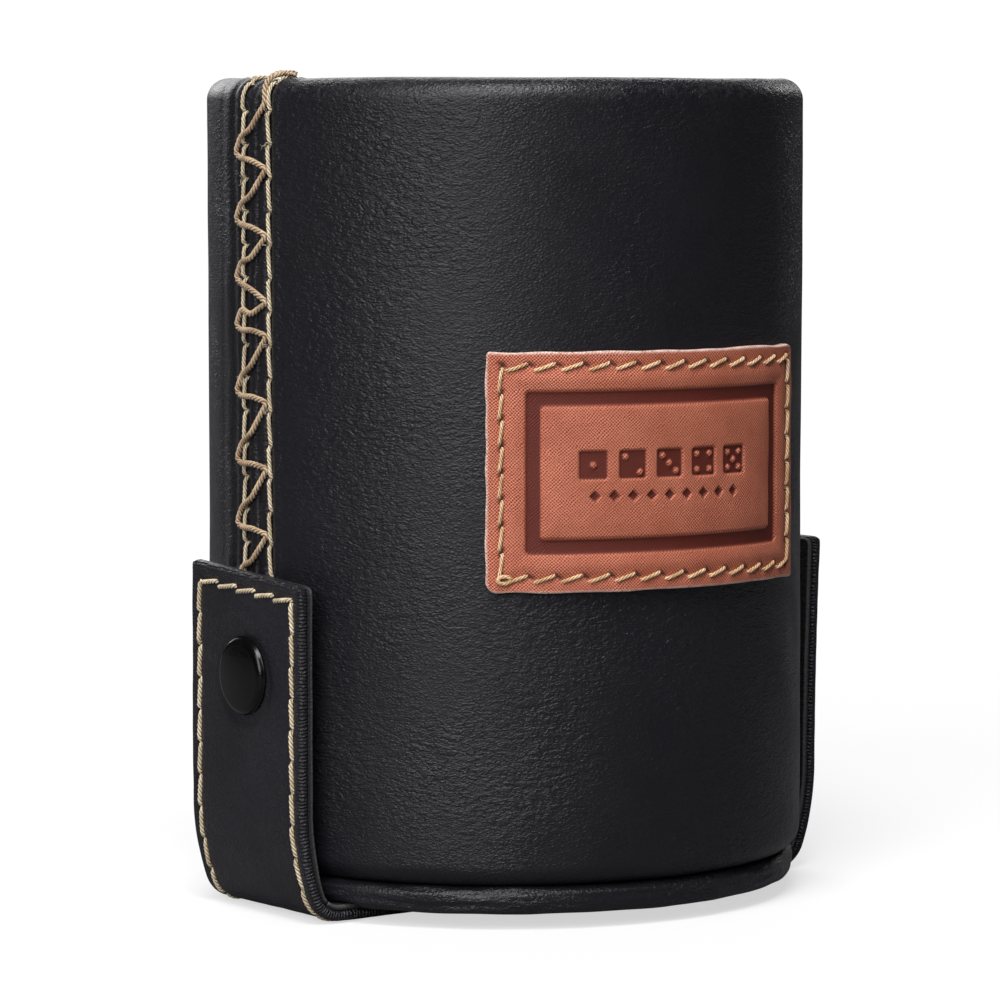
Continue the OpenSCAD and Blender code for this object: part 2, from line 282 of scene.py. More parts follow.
def on_cover(length, across, lift):
    """Points and normals on the cover: length runs along the wall's section from the rim's top,
    down the outside; across is the distance from the seam towards the back; lift is along the
    normal."""
    s = np.asarray(length) + rim_length
    r = np.interp(s, wall_length, wall_line[:, 0])
    z = np.interp(s, wall_length, wall_line[:, 1])
    nr = np.interp(s, wall_length, wall_normal[:, 0])
    nz = np.interp(s, wall_length, wall_normal[:, 1])
    turn = np.pi - across / np.maximum(r, bore_radius)
    r, z = r + nr * lift, z + nz * lift
    points = np.stack([r * np.cos(turn), r * np.sin(turn), z], -1)
    normals = np.stack([nr * np.cos(turn), nr * np.sin(turn), nz], -1)
    return points, normals / np.linalg.norm(normals, axis=-1, keepdims=True)


def grid_faces(rows, columns, wrap_rows=False, wrap_columns=False, first=0):
    """Four-sided faces of a grid whose points are numbered row by row, joined end to end if
    wrapped."""
    i = np.arange(rows if wrap_rows else rows - 1)
    j = np.arange(columns if wrap_columns else columns - 1)
    a, b = np.meshgrid(i, j, indexing="ij")
    c, d = (a + 1) % rows, (b + 1) % columns
    quads = np.stack([a * columns + b, c * columns + b, c * columns + d, a * columns + d], -1)
    return quads.reshape(-1, 4) + first


def new_piece(name, points, faces, finish, attributes=()):
    """A smooth-shaded mesh object at the origin, from an array of points and faces that are an
    array too, or a list where some have three sides and some four."""
    mesh = bpy.data.meshes.new(name)
    mesh.from_pydata(points.reshape(-1, 3).tolist(), [],
                     faces if isinstance(faces, list) else faces.tolist())
    for label, values in attributes:
        layer = mesh.attributes.new(label, "FLOAT", "POINT")
        layer.data.foreach_set("value", np.asarray(values, np.float32).ravel())
    mesh.shade_smooth()
    mesh.materials.append(finish)
    piece = bpy.data.objects.new(name, mesh)
    bpy.context.collection.objects.link(piece)
    return piece


def group_sockets(group, inputs, outputs):
    """Gives a node group its named inputs, with their values at rest, and its named outputs."""
    for label, kind, value in inputs:
        socket = group.interface.new_socket(label, in_out="INPUT", socket_type=kind)
        socket.default_value = value
    for label, kind in outputs:
        group.interface.new_socket(label, in_out="OUTPUT", socket_type=kind)
    return group.nodes.new("NodeGroupInput"), group.nodes.new("NodeGroupOutput")


def math_node(tree, operation, a, b=None, clamp=False):
    """A Math node fed with sockets or plain numbers; returns its output."""
    node = tree.nodes.new("ShaderNodeMath")
    node.operation = operation
    node.use_clamp = clamp
    for socket, value in zip(node.inputs, (a, b)):
        if isinstance(value, (int, float)):
            socket.default_value = value
        elif value is not None:
            tree.links.new(value, socket)
    return node.outputs[0]


def scale_vector(tree, vector, factor):
    """A vector multiplied by one number or by a socket."""
    node = tree.nodes.new("ShaderNodeVectorMath")
    node.operation = "SCALE"
    tree.links.new(vector, node.inputs[0])
    if isinstance(factor, (int, float)):
        node.inputs["Scale"].default_value = factor
    else:
        tree.links.new(factor, node.inputs["Scale"])
    return node.outputs[0]


def noise(tree, vector, scale, detail=2.0, roughness=0.5, stretch=None):
    """A Noise texture's value, on coordinates that may first be stretched along each axis."""
    if stretch is not None:
        mapping = tree.nodes.new("ShaderNodeMapping")
        mapping.inputs["Scale"].default_value = stretch
        tree.links.new(vector, mapping.inputs["Vector"])
        vector = mapping.outputs[0]
    node = tree.nodes.new("ShaderNodeTexNoise")
    node.inputs["Scale"].default_value = scale
    node.inputs["Detail"].default_value = detail
    node.inputs["Roughness"].default_value = roughness
    tree.links.new(vector, node.inputs["Vector"])
    return node.outputs["Fac"]


def remap(tree, value, low, high, to_low, to_high):
    """A value taken linearly from one range to another, and kept within it."""
    node = tree.nodes.new("ShaderNodeMapRange")
    for label, number in (("From Min", low), ("From Max", high), ("To Min", to_low),
                          ("To Max", to_high)):
        node.inputs[label].default_value = number
    tree.links.new(value, node.inputs["Value"])
    return node.outputs["Result"]


def make_hide_grain():
    """Leather grain on coordinates in metres: small rounded cells between fine creases, and short
    level wrinkles whose depth comes and goes over the skin. Gives a height, a mask that is 1 in
    the creases, and two slow masks: one for the tone of the dye and one for the gloss."""
    group = bpy.data.node_groups.new("hide_grain", "ShaderNodeTree")
    source, sink = group_sockets(
        group,
        [("Vector", "NodeSocketVector", (0, 0, 0)), ("Cell Size", "NodeSocketFloat", 0.0007),
         ("Wrinkles", "NodeSocketFloat", 0.5)],
        [("Height", "NodeSocketFloat"), ("Crease", "NodeSocketFloat"),
         ("Drift", "NodeSocketFloat"), ("Gloss", "NodeSocketFloat")])
    place = source.outputs["Vector"]
    warp = group.nodes.new("ShaderNodeTexNoise")
    warp.inputs["Scale"].default_value = 900
    warp.inputs["Detail"].default_value = 2
    group.links.new(place, warp.inputs["Vector"])
    shift = group.nodes.new("ShaderNodeVectorMath")
    shift.operation = "MULTIPLY_ADD"
    group.links.new(warp.outputs["Color"], shift.inputs[0])
    shift.inputs[1].default_value = (0.0006, 0.0006, 0.0006)
    group.links.new(place, shift.inputs[2])
    per_metre = math_node(group, "DIVIDE", 1.0, source.outputs["Cell Size"])
    level = group.nodes.new("ShaderNodeMapping")
    level.inputs["Scale"].default_value = (1, 1, 1.45)
    group.links.new(scale_vector(group, shift.outputs[0], per_metre), level.inputs["Vector"])
    cells = group.nodes.new("ShaderNodeTexVoronoi")
    cells.feature = "DISTANCE_TO_EDGE"
    cells.inputs["Scale"].default_value = 1.0
    group.links.new(level.outputs[0], cells.inputs["Vector"])
    cell_top = math_node(group, "MULTIPLY", cells.outputs["Distance"], 2.4, clamp=True)
    crease = math_node(group, "SUBTRACT", 1.0, cell_top, clamp=True)
    fine = noise(group, place, 2600, 3, 0.6)
    wrinkle = noise(group, shift.outputs[0], 430, 3, 0.6, stretch=(1, 1, 2.3))
    wrinkle = math_node(group, "ABSOLUTE", math_node(group, "SUBTRACT", wrinkle, 0.5))
    wrinkle = math_node(group, "MULTIPLY", wrinkle, 8.0, clamp=True)
    amount = remap(group, noise(group, place, 38, 2, 0.5), 0.38, 0.62, 0.2, 1.3)
    amount = math_node(group, "MULTIPLY", amount, source.outputs["Wrinkles"])
    broad = noise(group, place, 190, 3, 0.6, stretch=(1, 1, 1.6))
    height = math_node(group, "MULTIPLY", cell_top, 0.40)
    for value, share in ((fine, 0.28), (wrinkle, amount), (broad, 0.40)):
        height = math_node(group, "ADD", height, math_node(group, "MULTIPLY", value, share))
    group.links.new(height, sink.inputs["Height"])
    group.links.new(crease, sink.inputs["Crease"])
    group.links.new(noise(group, place, 45, 4, 0.55), sink.inputs["Drift"])
    group.links.new(noise(group, place, 110, 5, 0.6), sink.inputs["Gloss"])
    return group


hide_grain = make_hide_grain()


def object_place(tree):
    """The Object output of a Texture Coordinate node."""
    return tree.nodes.new("ShaderNodeTexCoord").outputs["Object"]


def attribute(tree, name):
    """The value of a mesh attribute."""
    node = tree.nodes.new("ShaderNodeAttribute")
    node.attribute_name = name
    return node.outputs["Fac"]


def blend_colour(tree, factor, a, b):
    """A colour between a and b; each is a plain colour or a socket."""
    node = tree.nodes.new("ShaderNodeMix")
    node.data_type = "RGBA"
    tree.links.new(factor, node.inputs["Factor"])
    for socket, value in ((node.inputs["A"], a), (node.inputs["B"], b)):
        if isinstance(value, tuple):
            socket.default_value = (*value, 1)
        else:
            tree.links.new(value, socket)
    return node.outputs["Result"]


def bump(tree, height, distance, under=None):
    """A Bump node over a height, at full strength; returns its normal."""
    node = tree.nodes.new("ShaderNodeBump")
    node.inputs["Distance"].default_value = distance
    node.inputs["Strength"].default_value = 1.0
    tree.links.new(height, node.inputs["Height"])
    if under is not None:
        tree.links.new(under, node.inputs["Normal"])
    return node.outputs["Normal"]


def feeds(shader, label):
    """The socket that feeds one of a shader's inputs."""
    return shader.inputs[label].links[0].from_socket


def hide(name, dark, light, cell=0.00060, wrinkles=0.75, depth=0.00013, rough=(0.36, 0.50)):
    """Dyed leather: hide grain in the bump, tone and roughness that drift slowly over the skin,
    and painted shade that makes the creases a little darker than the tops of the cells. Returns it,
    its tree and its shader."""
    material, tree, shader = new_material(name)
    grain = tree.nodes.new("ShaderNodeGroup")
    grain.node_tree = hide_grain
    tree.links.new(object_place(tree), grain.inputs["Vector"])
    grain.inputs["Cell Size"].default_value = cell
    grain.inputs["Wrinkles"].default_value = wrinkles
    tone = blend_colour(tree, remap(tree, grain.outputs["Drift"], 0.3, 0.7, 0, 1), dark, light)
    # Painted shade: the grain's creases are darkened in the colour.
    tone = blend_colour(tree, math_node(tree, "MULTIPLY", grain.outputs["Crease"], 0.5), tone,
                        tuple(c * 0.6 for c in dark))
    tree.links.new(tone, shader.inputs["Base Color"])
    tree.links.new(remap(tree, grain.outputs["Gloss"], 0.3, 0.7, *rough),
                   shader.inputs["Roughness"])
    tree.links.new(bump(tree, grain.outputs["Height"], depth), shader.inputs["Normal"])
    shader.inputs["Specular IOR Level"].default_value = 0.30
    return material, tree, shader


def over_line(turns, line, normal):
    """Five grids for a section line carried round to each turn: the turn, the radius, the height,
    and the normal's parts along the radius and the height."""
    turn, r = np.meshgrid(turns, line[:, 0], indexing="ij")
    return (turn, r, *(np.broadcast_to(v, r.shape) for v in (line[:, 1], *normal.T)))


def round_wall(turn, r, z, nr, nz, lift, thickness):
    """Points of a wall that is closed in section. Its outer face is lifted along the normals, and
    its inner face runs back one thickness under the line. x and y are the radius times the cosine
    and the sine of the turn."""
    faces = []
    for away, low in ((lift, z), (-thickness, z)):
        out = r + nr * away
        faces.append(np.stack([out * np.cos(turn), out * np.sin(turn), low + nz * away], -1))
    return np.concatenate([faces[0], faces[1][:, ::-1]], 1)


black_hide, tree, shader = hide("black_hide", (0.0070, 0.0067, 0.0094), (0.0106, 0.0100, 0.0138),
                                wrinkles=0.8, depth=0.000095)
# The roll at the rim: polished, and painted paler in patches, partly wear and partly a painted
# highlight along the roll.
rim_wear_and_highlight = attribute(tree, "rim_wear_and_highlight")
polished = math_node(tree, "SUBTRACT", feeds(shader, "Roughness"),
                     math_node(tree, "MULTIPLY", rim_wear_and_highlight, 0.12))
tree.links.new(polished, shader.inputs["Roughness"])
rubbed_and_highlight = remap(tree, noise(tree, object_place(tree), 1300, 3, 0.6), 0.42, 0.66, 0, 0.8)
rubbed_and_highlight = blend_colour(tree, math_node(tree, "MULTIPLY", rim_wear_and_highlight, rubbed_and_highlight), feeds(shader, "Base Color"),
                      (0.034, 0.033, 0.037))
tree.links.new(rubbed_and_highlight, shader.inputs["Base Color"])

# The grid is close near the seam: closest over the slit, close to the pulled leather beside it.
front_reach, back_reach, slit_reach = 7 * mm, 12 * mm, 0.8 * mm
near_seam = np.concatenate([
    np.linspace(-front_reach, -slit_reach, 36)[:-1], np.linspace(-slit_reach, slit_reach, 17),
    np.linspace(slit_reach, back_reach, 62)[1:]]) / cup_radius
far_side = np.linspace(near_seam[-1], 2 * np.pi + near_seam[0], 190)[1:-1]
cover_turn = np.concatenate([near_seam, far_side])
turn, r, z, nr, nz = over_line(cover_turn, wall_line, wall_normal)
wrapped = np.where(turn > np.pi, turn - 2 * np.pi, turn)
x0, y0 = -r * np.cos(wrapped), r * np.sin(wrapped)
lift = seam_dip(wrapped * r, z)
lift += 0.10 * mm * soft_waves(x0, y0, z, 46 * mm, 3)
lift += 0.035 * mm * soft_waves(x0, y0, z, 13 * mm, 5)
# On top of the rim the roll is uneven, and a crease shows where the leather turns in.
on_rim = z > rim_z - 2 * mm
lift += (0.16 * mm * hump(r, cup_radius - 3.4 * mm, 1.0 * mm) * on_rim
         * soft_waves(x0, y0, z * 0, 30 * mm, 8))
crease_wander = 0.25 * mm * soft_waves(x0, y0, z * 0, 22 * mm, 9)
lift -= 0.35 * mm * hump(r, cup_radius - 3.6 * mm + crease_wander, 0.25 * mm) * on_rim
wall = round_wall(np.pi - wrapped, r, z, nr, nz, lift, cover_thickness)
# Where the roll at the rim is polished and painted paler, partly as wear and partly as a highlight.
rim_rub_and_highlight = hump(z, rim_z - 1.6 * mm, 1.1 * mm) * (r > cup_radius - roll_radius)
rim_rub_and_highlight = rim_rub_and_highlight * np.clip(0.65 + 0.6 * soft_waves(x0, y0, z * 0, 24 * mm, 12), 0.2, 1)
rim_wear_and_highlight = np.concatenate([rim_rub_and_highlight, rim_rub_and_highlight * 0], 1)
outer_cover = new_piece("outer_cover", wall, grid_faces(*wall.shape[:2], True, True), black_hide,
                        (("rim_wear_and_highlight", rim_wear_and_highlight),))
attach(outer_cover, "cup")
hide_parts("outer_cover")


# ---- Seam stitching and lace ----
# Two rows of waxed linen thread hold the cover's turned edges down. A finer honey-coloured lace
# zigzags between them, caught under every second stitch, and ends in a small knot on the rim.
thread_width = 0.72 * mm
seam_low = foot_z + 5 * mm
snap_height = 33.6 * mm
roll_length = np.pi / 2 * roll_radius + 0.9 * mm


def length_at(z):
    """Distance along the wall from the rim's top to a height on the cup's outside: the length of
    the roll and the drop below it. The same sum turns a distance back into a height."""
    return roll_length + (rim_z - roll_radius - z)


def closed_tube(rings, first=0):
    """Points and faces of a tube through rings of points, closed at each end round a middle
    point."""
    count, sides = rings.shape[:2]
    points = np.vstack([rings.reshape(-1, rings.shape[2]), rings[0].mean(0), rings[-1].mean(0)])
    low, high, last = count * sides, count * sides + 1, (count - 1) * sides
    j = np.arange(sides)
    k = (j + 1) % sides
    ends = np.stack([np.stack([j * 0 + low, j, k], -1),
                     np.stack([j * 0 + high, last + k, last + j], -1)], 1).reshape(-1, 3)
    wall = grid_faces(count, sides, wrap_columns=True, first=first)
    return points, wall.tolist() + (ends + first).tolist()


def plied_cord(path, up, width, turn_length, plies=3, sides=6, start=0.0):
    """Twisted cord: each ply runs a quarter width from the path, going once round it in
    turn_length, and is a quarter width in radius. The plies narrow to rounded ends, by the root
    of the distance from the end. Each point has a fourth number, its distance from the cord's
    middle in widths."""
    quarter = 0.25 * width
    tangent = np.gradient(path, axis=0)
    tangent /= np.linalg.norm(tangent, axis=1, keepdims=True)
    side = np.cross(tangent, up)
    side /= np.linalg.norm(side, axis=1, keepdims=True)
    rise = np.cross(side, tangent)
    run = np.concatenate([[0], np.cumsum(np.linalg.norm(np.diff(path, axis=0), axis=1))])
    narrow = np.clip(np.minimum(run, run[-1] - run) / (0.35 * width) + 0.25, 0, 1) ** 0.5
    ring = (np.arange(sides) / sides * 2 * np.pi)[None, :, None]
    shape = np.cos(ring) * side[:, None] + np.sin(ring) * rise[:, None]
    tubes = []
    for k in range(plies):
        turn = (start + run / turn_length * 2 * np.pi + k * 2 * np.pi / plies)[:, None]
        middle = path + quarter * (np.cos(turn) * side + np.sin(turn) * rise)
        rings = middle[:, None] + quarter * narrow[:, None, None] * shape
        out = np.linalg.norm(rings - path[:, None], axis=-1, keepdims=True) / width
        tubes.append(np.concatenate([rings, out], -1))
    return tubes


def cords_piece(name, tubes, finish):
    """One mesh object from a list of tubes, each an array of rings of points."""
    points, faces, first = [], [], 0
    for rings in tubes:
        some_points, some_faces = closed_tube(rings, first)
        points.append(some_points)
        faces += some_faces
        first += len(some_points)
    points = np.vstack(points)
    return new_piece(name, points[:, :3], faces, finish, (("out", points[:, 3]),))


def make_twisted_fibres():
    """Spun thread on coordinates in metres, with the distance from the cord's middle in widths: a
    tone that drifts from dark to light, with darker fibres, and painted shade between the plies,
    where it is darker still.
    Gives the colour, the height of the fibres, and the drift."""
    group = bpy.data.node_groups.new("twisted_fibres", "ShaderNodeTree")
    source, sink = group_sockets(
        group, [("Vector", "NodeSocketVector", (0, 0, 0)), ("Out", "NodeSocketFloat", 0.5),
                ("Dark", "NodeSocketColor", (0.3, 0.2, 0.1, 1)),
                ("Light", "NodeSocketColor", (0.6, 0.5, 0.3, 1))],
        [("Color", "NodeSocketColor"), ("Height", "NodeSocketFloat"),
         ("Drift", "NodeSocketFloat")])
    place, dark = source.outputs["Vector"], source.outputs["Dark"]
    fibres = noise(group, place, 5200, 3, 0.6)
    drift = noise(group, place, 420, 3, 0.6)
    tone = blend_colour(group, remap(group, drift, 0.35, 0.65, 0, 1), dark,
                        source.outputs["Light"])
    tone = blend_colour(group, remap(group, fibres, 0.55, 0.75, 0, 0.55), tone,
                        scale_vector(group, dark, 0.45))
    # Painted shade: darker towards the cord's middle, where the plies meet.
    tone = blend_colour(group, remap(group, source.outputs["Out"], 0.28, 0.46, 0.85, 0), tone,
                        scale_vector(group, dark, 0.22))
    group.links.new(tone, sink.inputs["Color"])
    group.links.new(fibres, sink.inputs["Height"])
    group.links.new(drift, sink.inputs["Drift"])
    return group


twisted_fibres = make_twisted_fibres()


def thread_finish(name, dark, light, rough=0.62):
    """Waxed linen thread: the twisted fibres' colour with its painted shade between the plies,
    their bump, a roughness that drifts round the one given, and a soft sheen."""
    material, tree, shader = new_material(name)
    fibres = tree.nodes.new("ShaderNodeGroup")
    fibres.node_tree = twisted_fibres
    tree.links.new(object_place(tree), fibres.inputs["Vector"])
    tree.links.new(attribute(tree, "out"), fibres.inputs["Out"])
    fibres.inputs["Dark"].default_value = (*dark, 1)
    fibres.inputs["Light"].default_value = (*light, 1)
    tree.links.new(fibres.outputs["Color"], shader.inputs["Base Color"])
    tree.links.new(bump(tree, fibres.outputs["Height"], 0.00006), shader.inputs["Normal"])
    tree.links.new(remap(tree, fibres.outputs["Drift"], 0.3, 0.7, rough - 0.1, rough + 0.1),
                   shader.inputs["Roughness"])
    shader.inputs["Sheen Weight"].default_value = 0.25
    shader.inputs["Sheen Roughness"].default_value = 0.4
    return material


straw_thread = thread_finish("straw_thread", (0.49, 0.385, 0.24), (0.79, 0.66, 0.46))


def stitch_line(start, end, place, slant, rng, arch=0.20 * mm, sunk=0.8 * mm, count=20):
    """One stitch between two holes given as (along, across): an arch over the surface, lower by
    the ninth power of the distance from its middle so that it dips into both holes, and leaning
    by slant. place turns along, across and lift into points and normals."""
    t = np.linspace(0, 1, count)
    lean = slant * (t - 0.5) + rng.normal(0, 0.05 * mm) * np.sin(np.pi * t)
    along = start[0] + (end[0] - start[0]) * t
    across = start[1] + (end[1] - start[1]) * t
    step = np.array([end[0] - start[0], end[1] - start[1]])
    step = step / np.linalg.norm(step)
    along, across = along - step[1] * lean, across + step[0] * lean
    lift = arch - sunk * np.abs(2 * t - 1) ** 9
    return place(along, across, lift)


def stitch_tubes(line, rng, width=thread_width):
    """The plies of one stitch along its line of points and normals."""
    path, up = line
    return plied_cord(path, up, width, 2.0 * mm, start=rng.uniform(0, 6.28))


def loose_fibres(place, spots, rng, count=5):
    """Broken filaments at each (along, across) spot: thin curls that start in the thread, rise
    over it and wander off, each step turning a little from the one before."""
    tubes = []
    for along, across in spots:
        for _ in range(count):
            heading = rng.uniform(0, 2 * np.pi) + np.cumsum(rng.normal(0, 0.55, 12))
            reach = rng.uniform(0.07, 0.13) * mm
            lift = 0.35 * mm + np.linspace(0, 1, 12) * rng.uniform(0.0, 0.6) * mm
            path, up = place(along + np.cumsum(np.cos(heading)) * reach,
                             across + np.cumsum(np.sin(heading)) * reach, lift)
            tubes += plied_cord(path, up, 0.11 * mm, 2 * mm, plies=1, sides=4)
    return tubes


# The rows start inside the rim, where the cover's turned-in edge ends, and leave room for the
# stud.
rng = np.random.default_rng(21)
stud_room = 6.5 * mm
overlap = 0.05 * mm
row_tops = np.arange(length_at(rim_z) - 3 * stitch_length, length_at(seam_low), stitch_length)
for label, side, frayed in (("back", 1, (3, 6, 9, 12)), ("front", -1, (2, 4, 5, 8, 11, 13))):
    across = side * row_offset
    tubes = []
    for top in row_tops:
        middle = rim_z - roll_radius - (top + stitch_length / 2 - roll_length)
        if abs(middle - snap_height) < stud_room or top < 0.3 * mm - turned_in:
            continue
        line = stitch_line((top - overlap, across), (top + stitch_length + overlap, across),
                           on_cover, 0.5 * mm * side, rng, arch=0.10 * mm)
        tubes += stitch_tubes(line, rng, 0.62 * mm)
    tubes += loose_fibres(on_cover, [(row_tops[k], across) for k in frayed],
                          np.random.default_rng(22 + side))
    row = cords_piece("seam_thread_" + label, tubes, straw_thread)
    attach(row, "cup")
    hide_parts("seam_thread_" + label)


def rounded_path(corners, step, soften):
    """Points every step along straight reaches between corners, with the turns rounded by
    averaging each point with its neighbours over the soften distance."""
    corners = np.asarray(corners)
    lengths = np.linalg.norm(np.diff(corners[:, :2], axis=0), axis=1)
    reach = np.concatenate([[0], np.cumsum(lengths)])
    at = np.arange(0, reach[-1], step)
    line = np.stack([np.interp(at, reach, column) for column in corners.T], -1)
    half = max(1, int(soften / step / 2))
    padded = np.pad(line, ((half, half), (0, 0)), "edge")
    window = np.ones(2 * half + 1) / (2 * half + 1)
    return np.stack([np.convolve(column, window, "valid") for column in padded.T], -1)


# The lace takes two stitches at each turn but one at the fourth, and its corners differ a little.
# It runs from the rim to the left tab's snap, and again below it.
node_z = rim_z - 3.3 * mm
corner_rises = (2.3, 2.3, 3.4, 1.4, 1.4, 1.2, 1.5)
above_snap = [(-1.4 * mm, -1.8 * mm, 0.3 * mm), (0.5 * mm, -2.2 * mm, 0.6 * mm),
              (3.0 * mm, -2.4 * mm, 0.6 * mm)]
below_snap = []
turn_count = 0
while node_z > seam_low:
    low_z = node_z - (1 if turn_count == 3 else 2) * stitch_length
    if node_z - 9 * mm > snap_height + 7 * mm or node_z < snap_height - 7 * mm:
        rise = corner_rises[turn_count % len(corner_rises)] * mm
        corners = ((node_z, 0.3 * mm - row_offset, 0.1 * mm),
                   (node_z - 0.55 * (node_z - low_z - rise), 0.4 * mm, 0.55 * mm),
                   (low_z + rise + 2.2 * mm, row_offset + 0.2 * mm, 0.2 * mm),
                   (low_z + rise + 0.9 * mm, row_offset + 1.2 * mm, 0.15 * mm),
                   (low_z + rise - 0.1 * mm, row_offset + 1.9 * mm, 0.15 * mm),
                   (low_z + rise - 0.8 * mm, row_offset + 0.9 * mm, 0.1 * mm),
                   (low_z + 0.5 * rise, 0.0, 0.6 * mm))
        run = above_snap if node_z > snap_height else below_snap
        run += [(length_at(z), across, lift) for z, across, lift in corners]
    node_z = low_z
    turn_count += 1
tubes = []
for run in (above_snap, below_snap):
    along, across, lift = rounded_path(run, 0.15 * mm, 1.5 * mm).T
    path, up = on_cover(along, across, lift + 0.12 * mm)
    tubes += plied_cord(path, up, 0.88 * mm, 2.2 * mm)

# The knot is two and a bit loops on the rim, with a short tail.
loops = np.linspace(0, 2.2 * 2 * np.pi, 70)
path, up = on_cover(1.0 * mm + 1.3 * mm * np.sin(loops),
                    -2.9 * mm + 0.75 * mm * np.cos(loops * 0.9),
                    0.42 * mm + 0.4 * mm * np.sin(loops * 0.5) ** 2)
tubes += plied_cord(path, up, 0.62 * mm, 1.8 * mm)
tail = np.linspace(0, 1, 26)
path, up = on_cover(0.9 * mm + 0.5 * mm * tail, -3.2 * mm - 2.7 * mm * tail,
                    0.35 * mm + 0.25 * mm * np.sin(tail * 3.0))
tubes += plied_cord(path, up, 0.42 * mm, 1.5 * mm)
honey_lace = thread_finish("honey_lace", (0.34, 0.215, 0.115), (0.60, 0.44, 0.28), 0.55)
lace = cords_piece("seam_lace", tubes, honey_lace)
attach(lace, "cup")
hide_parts("seam_lace")


# ---- Label ----
# A patch of tan leather with raw cut edges, glued and sewn to the cup. A frame is pressed into
# it, and inside the frame a row of small dice with a row of diamonds under it.
label_turn = math.radians(-4.5)
label_middle = 63.2 * mm
label_half = np.array([52.5 / 2, 33 / 2]) * mm
label_radius = cup_radius + 0.05 * mm
label_thickness = 1.3 * mm


def rounded_corners(u, v, corners):
    """Moves the points of a rectangle's corner squares onto quarter discs: a and b, the shares of
    the square along its two sides, become a * sqrt(1 - b^2 / 2) and b * sqrt(1 - a^2 / 2).
    corners holds (sign along u, sign along v, radius)."""
    u_out, v_out = u.copy(), v.copy()
    for side, end, r in corners:
        u_in = side * (u.max() if side > 0 else u.min()) - r
        v_in = end * (v.max() if end > 0 else v.min()) - r
        a, b = (side * u - u_in) / r, (end * v - v_in) / r
        inside = (a > 0) & (b > 0)
        a, b = np.clip(a, 0, 1), np.clip(b, 0, 1)
        u_out = np.where(inside, side * (u_in + r * a * np.sqrt(1 - b * b / 2)), u_out)
        v_out = np.where(inside, end * (v_in + r * b * np.sqrt(1 - a * a / 2)), v_out)
    return u_out, v_out


def plate(name, u, v, top, bottom, place, finish, corners=(), attributes=()):
    """A thin sheet over the grid of u and v lines, between lifts bottom and top (arrays over the
    grid), closed by a band round its edge. place turns u, v and lift into points; attributes are
    names with arrays for the top and the bottom. The sign of the volume turns the faces
    outwards."""
    grid_u, grid_v = rounded_corners(*np.meshgrid(u, v, indexing="ij"), corners)
    points = np.concatenate([place(grid_u, grid_v, top).reshape(-1, 3),
                             place(grid_u, grid_v, bottom).reshape(-1, 3)])
    rows, columns = len(u), len(v)
    upper = np.arange(rows * columns).reshape(rows, columns)
    rim = np.concatenate([upper[:-1, 0], upper[-1, :-1], upper[:0:-1, -1], upper[0, :0:-1]])
    ahead = np.roll(rim, -1)
    band = np.stack([rim, rim + rows * columns, ahead + rows * columns, ahead], -1)
    faces = np.concatenate([grid_faces(rows, columns),
                            grid_faces(rows, columns)[:, ::-1] + rows * columns, band])
    a, b, c, d = (points[faces[:, k]] for k in range(4))
    if np.sum(np.cross(c - a, d - b) * (a + b + c + d)) < 0:
        faces = faces[:, ::-1]
    both = [(label, np.concatenate([np.ravel(over), np.ravel(under)]))
            for label, over, under in attributes]
    return new_piece(name, points, faces, finish, both)


def box_distance(u, v, half_u, half_v, corner):
    """Distance from a rounded rectangle's outline, positive inside it: the corner's radius less
    the distance from the same rectangle drawn in by that radius."""
    a, b = np.abs(u) - half_u + corner, np.abs(v) - half_v + corner
    outside = np.hypot(np.maximum(a, 0), np.maximum(b, 0)) + np.minimum(np.maximum(a, b), 0)
    return corner - outside


def pressed_motif(u, v):
    """Depth, 0 to 1, of the mark in the label's middle: five die faces with one to five pips left
    standing, over a row of nine small diamonds. A die is a rounded square, a pip is a disc, and a
    diamond is where the distances across and up add to less than its half width."""
    u = u + 0.6 * mm
    die_pitch, die_half, die_corner = 5.6 * mm, 2.0 * mm, 0.45 * mm
    pip_offset, pip_radius = 1.08 * mm, 0.40 * mm
    diamond_pitch, diamond_half = 2.75 * mm, 0.8 * mm
    depth = np.zeros_like(u)
    middle, slope, corners = [(0, 0)], [(-1, 1), (1, -1)], [(-1, -1), (-1, 1), (1, -1), (1, 1)]
    for k, pips in enumerate((middle, slope, slope + middle, corners, corners + middle)):
        du, dv = u - (k - 2) * die_pitch, v - 1.0 * mm
        face = step_up(box_distance(du, dv, die_half, die_half, die_corner), 0, 0.22 * mm)
        for a, b in pips:
            spot = np.hypot(du - a * pip_offset, dv - b * pip_offset)
            face = face * step_up(spot, pip_radius, 0.2 * mm)
        depth = np.maximum(depth, face)
    for k in range(-4, 5):
        spot = np.abs(u - k * diamond_pitch) + np.abs(v + 3.3 * mm)
        depth = np.maximum(depth, 1 - step_up(spot, diamond_half, 0.25 * mm))
    return depth


def fine_lines(half, dense_low, dense_high, fine=0.16 * mm, coarse=0.225 * mm, edge=0.9 * mm):
    """Grid lines from -half to half: close together between the dense limits, and at the ends,
    where their distances from the end are one minus the cosine of even turns."""
    turn = np.linspace(0, np.pi / 2, 7)[:-1]
    end = edge * (1 - np.cos(turn))
    middle = [np.arange(-half + edge, dense_low, coarse), np.arange(dense_low, dense_high, fine),
              np.arange(dense_high, half - edge, coarse)]
    return np.concatenate([-half + end, *middle, (half - end)[::-1]])


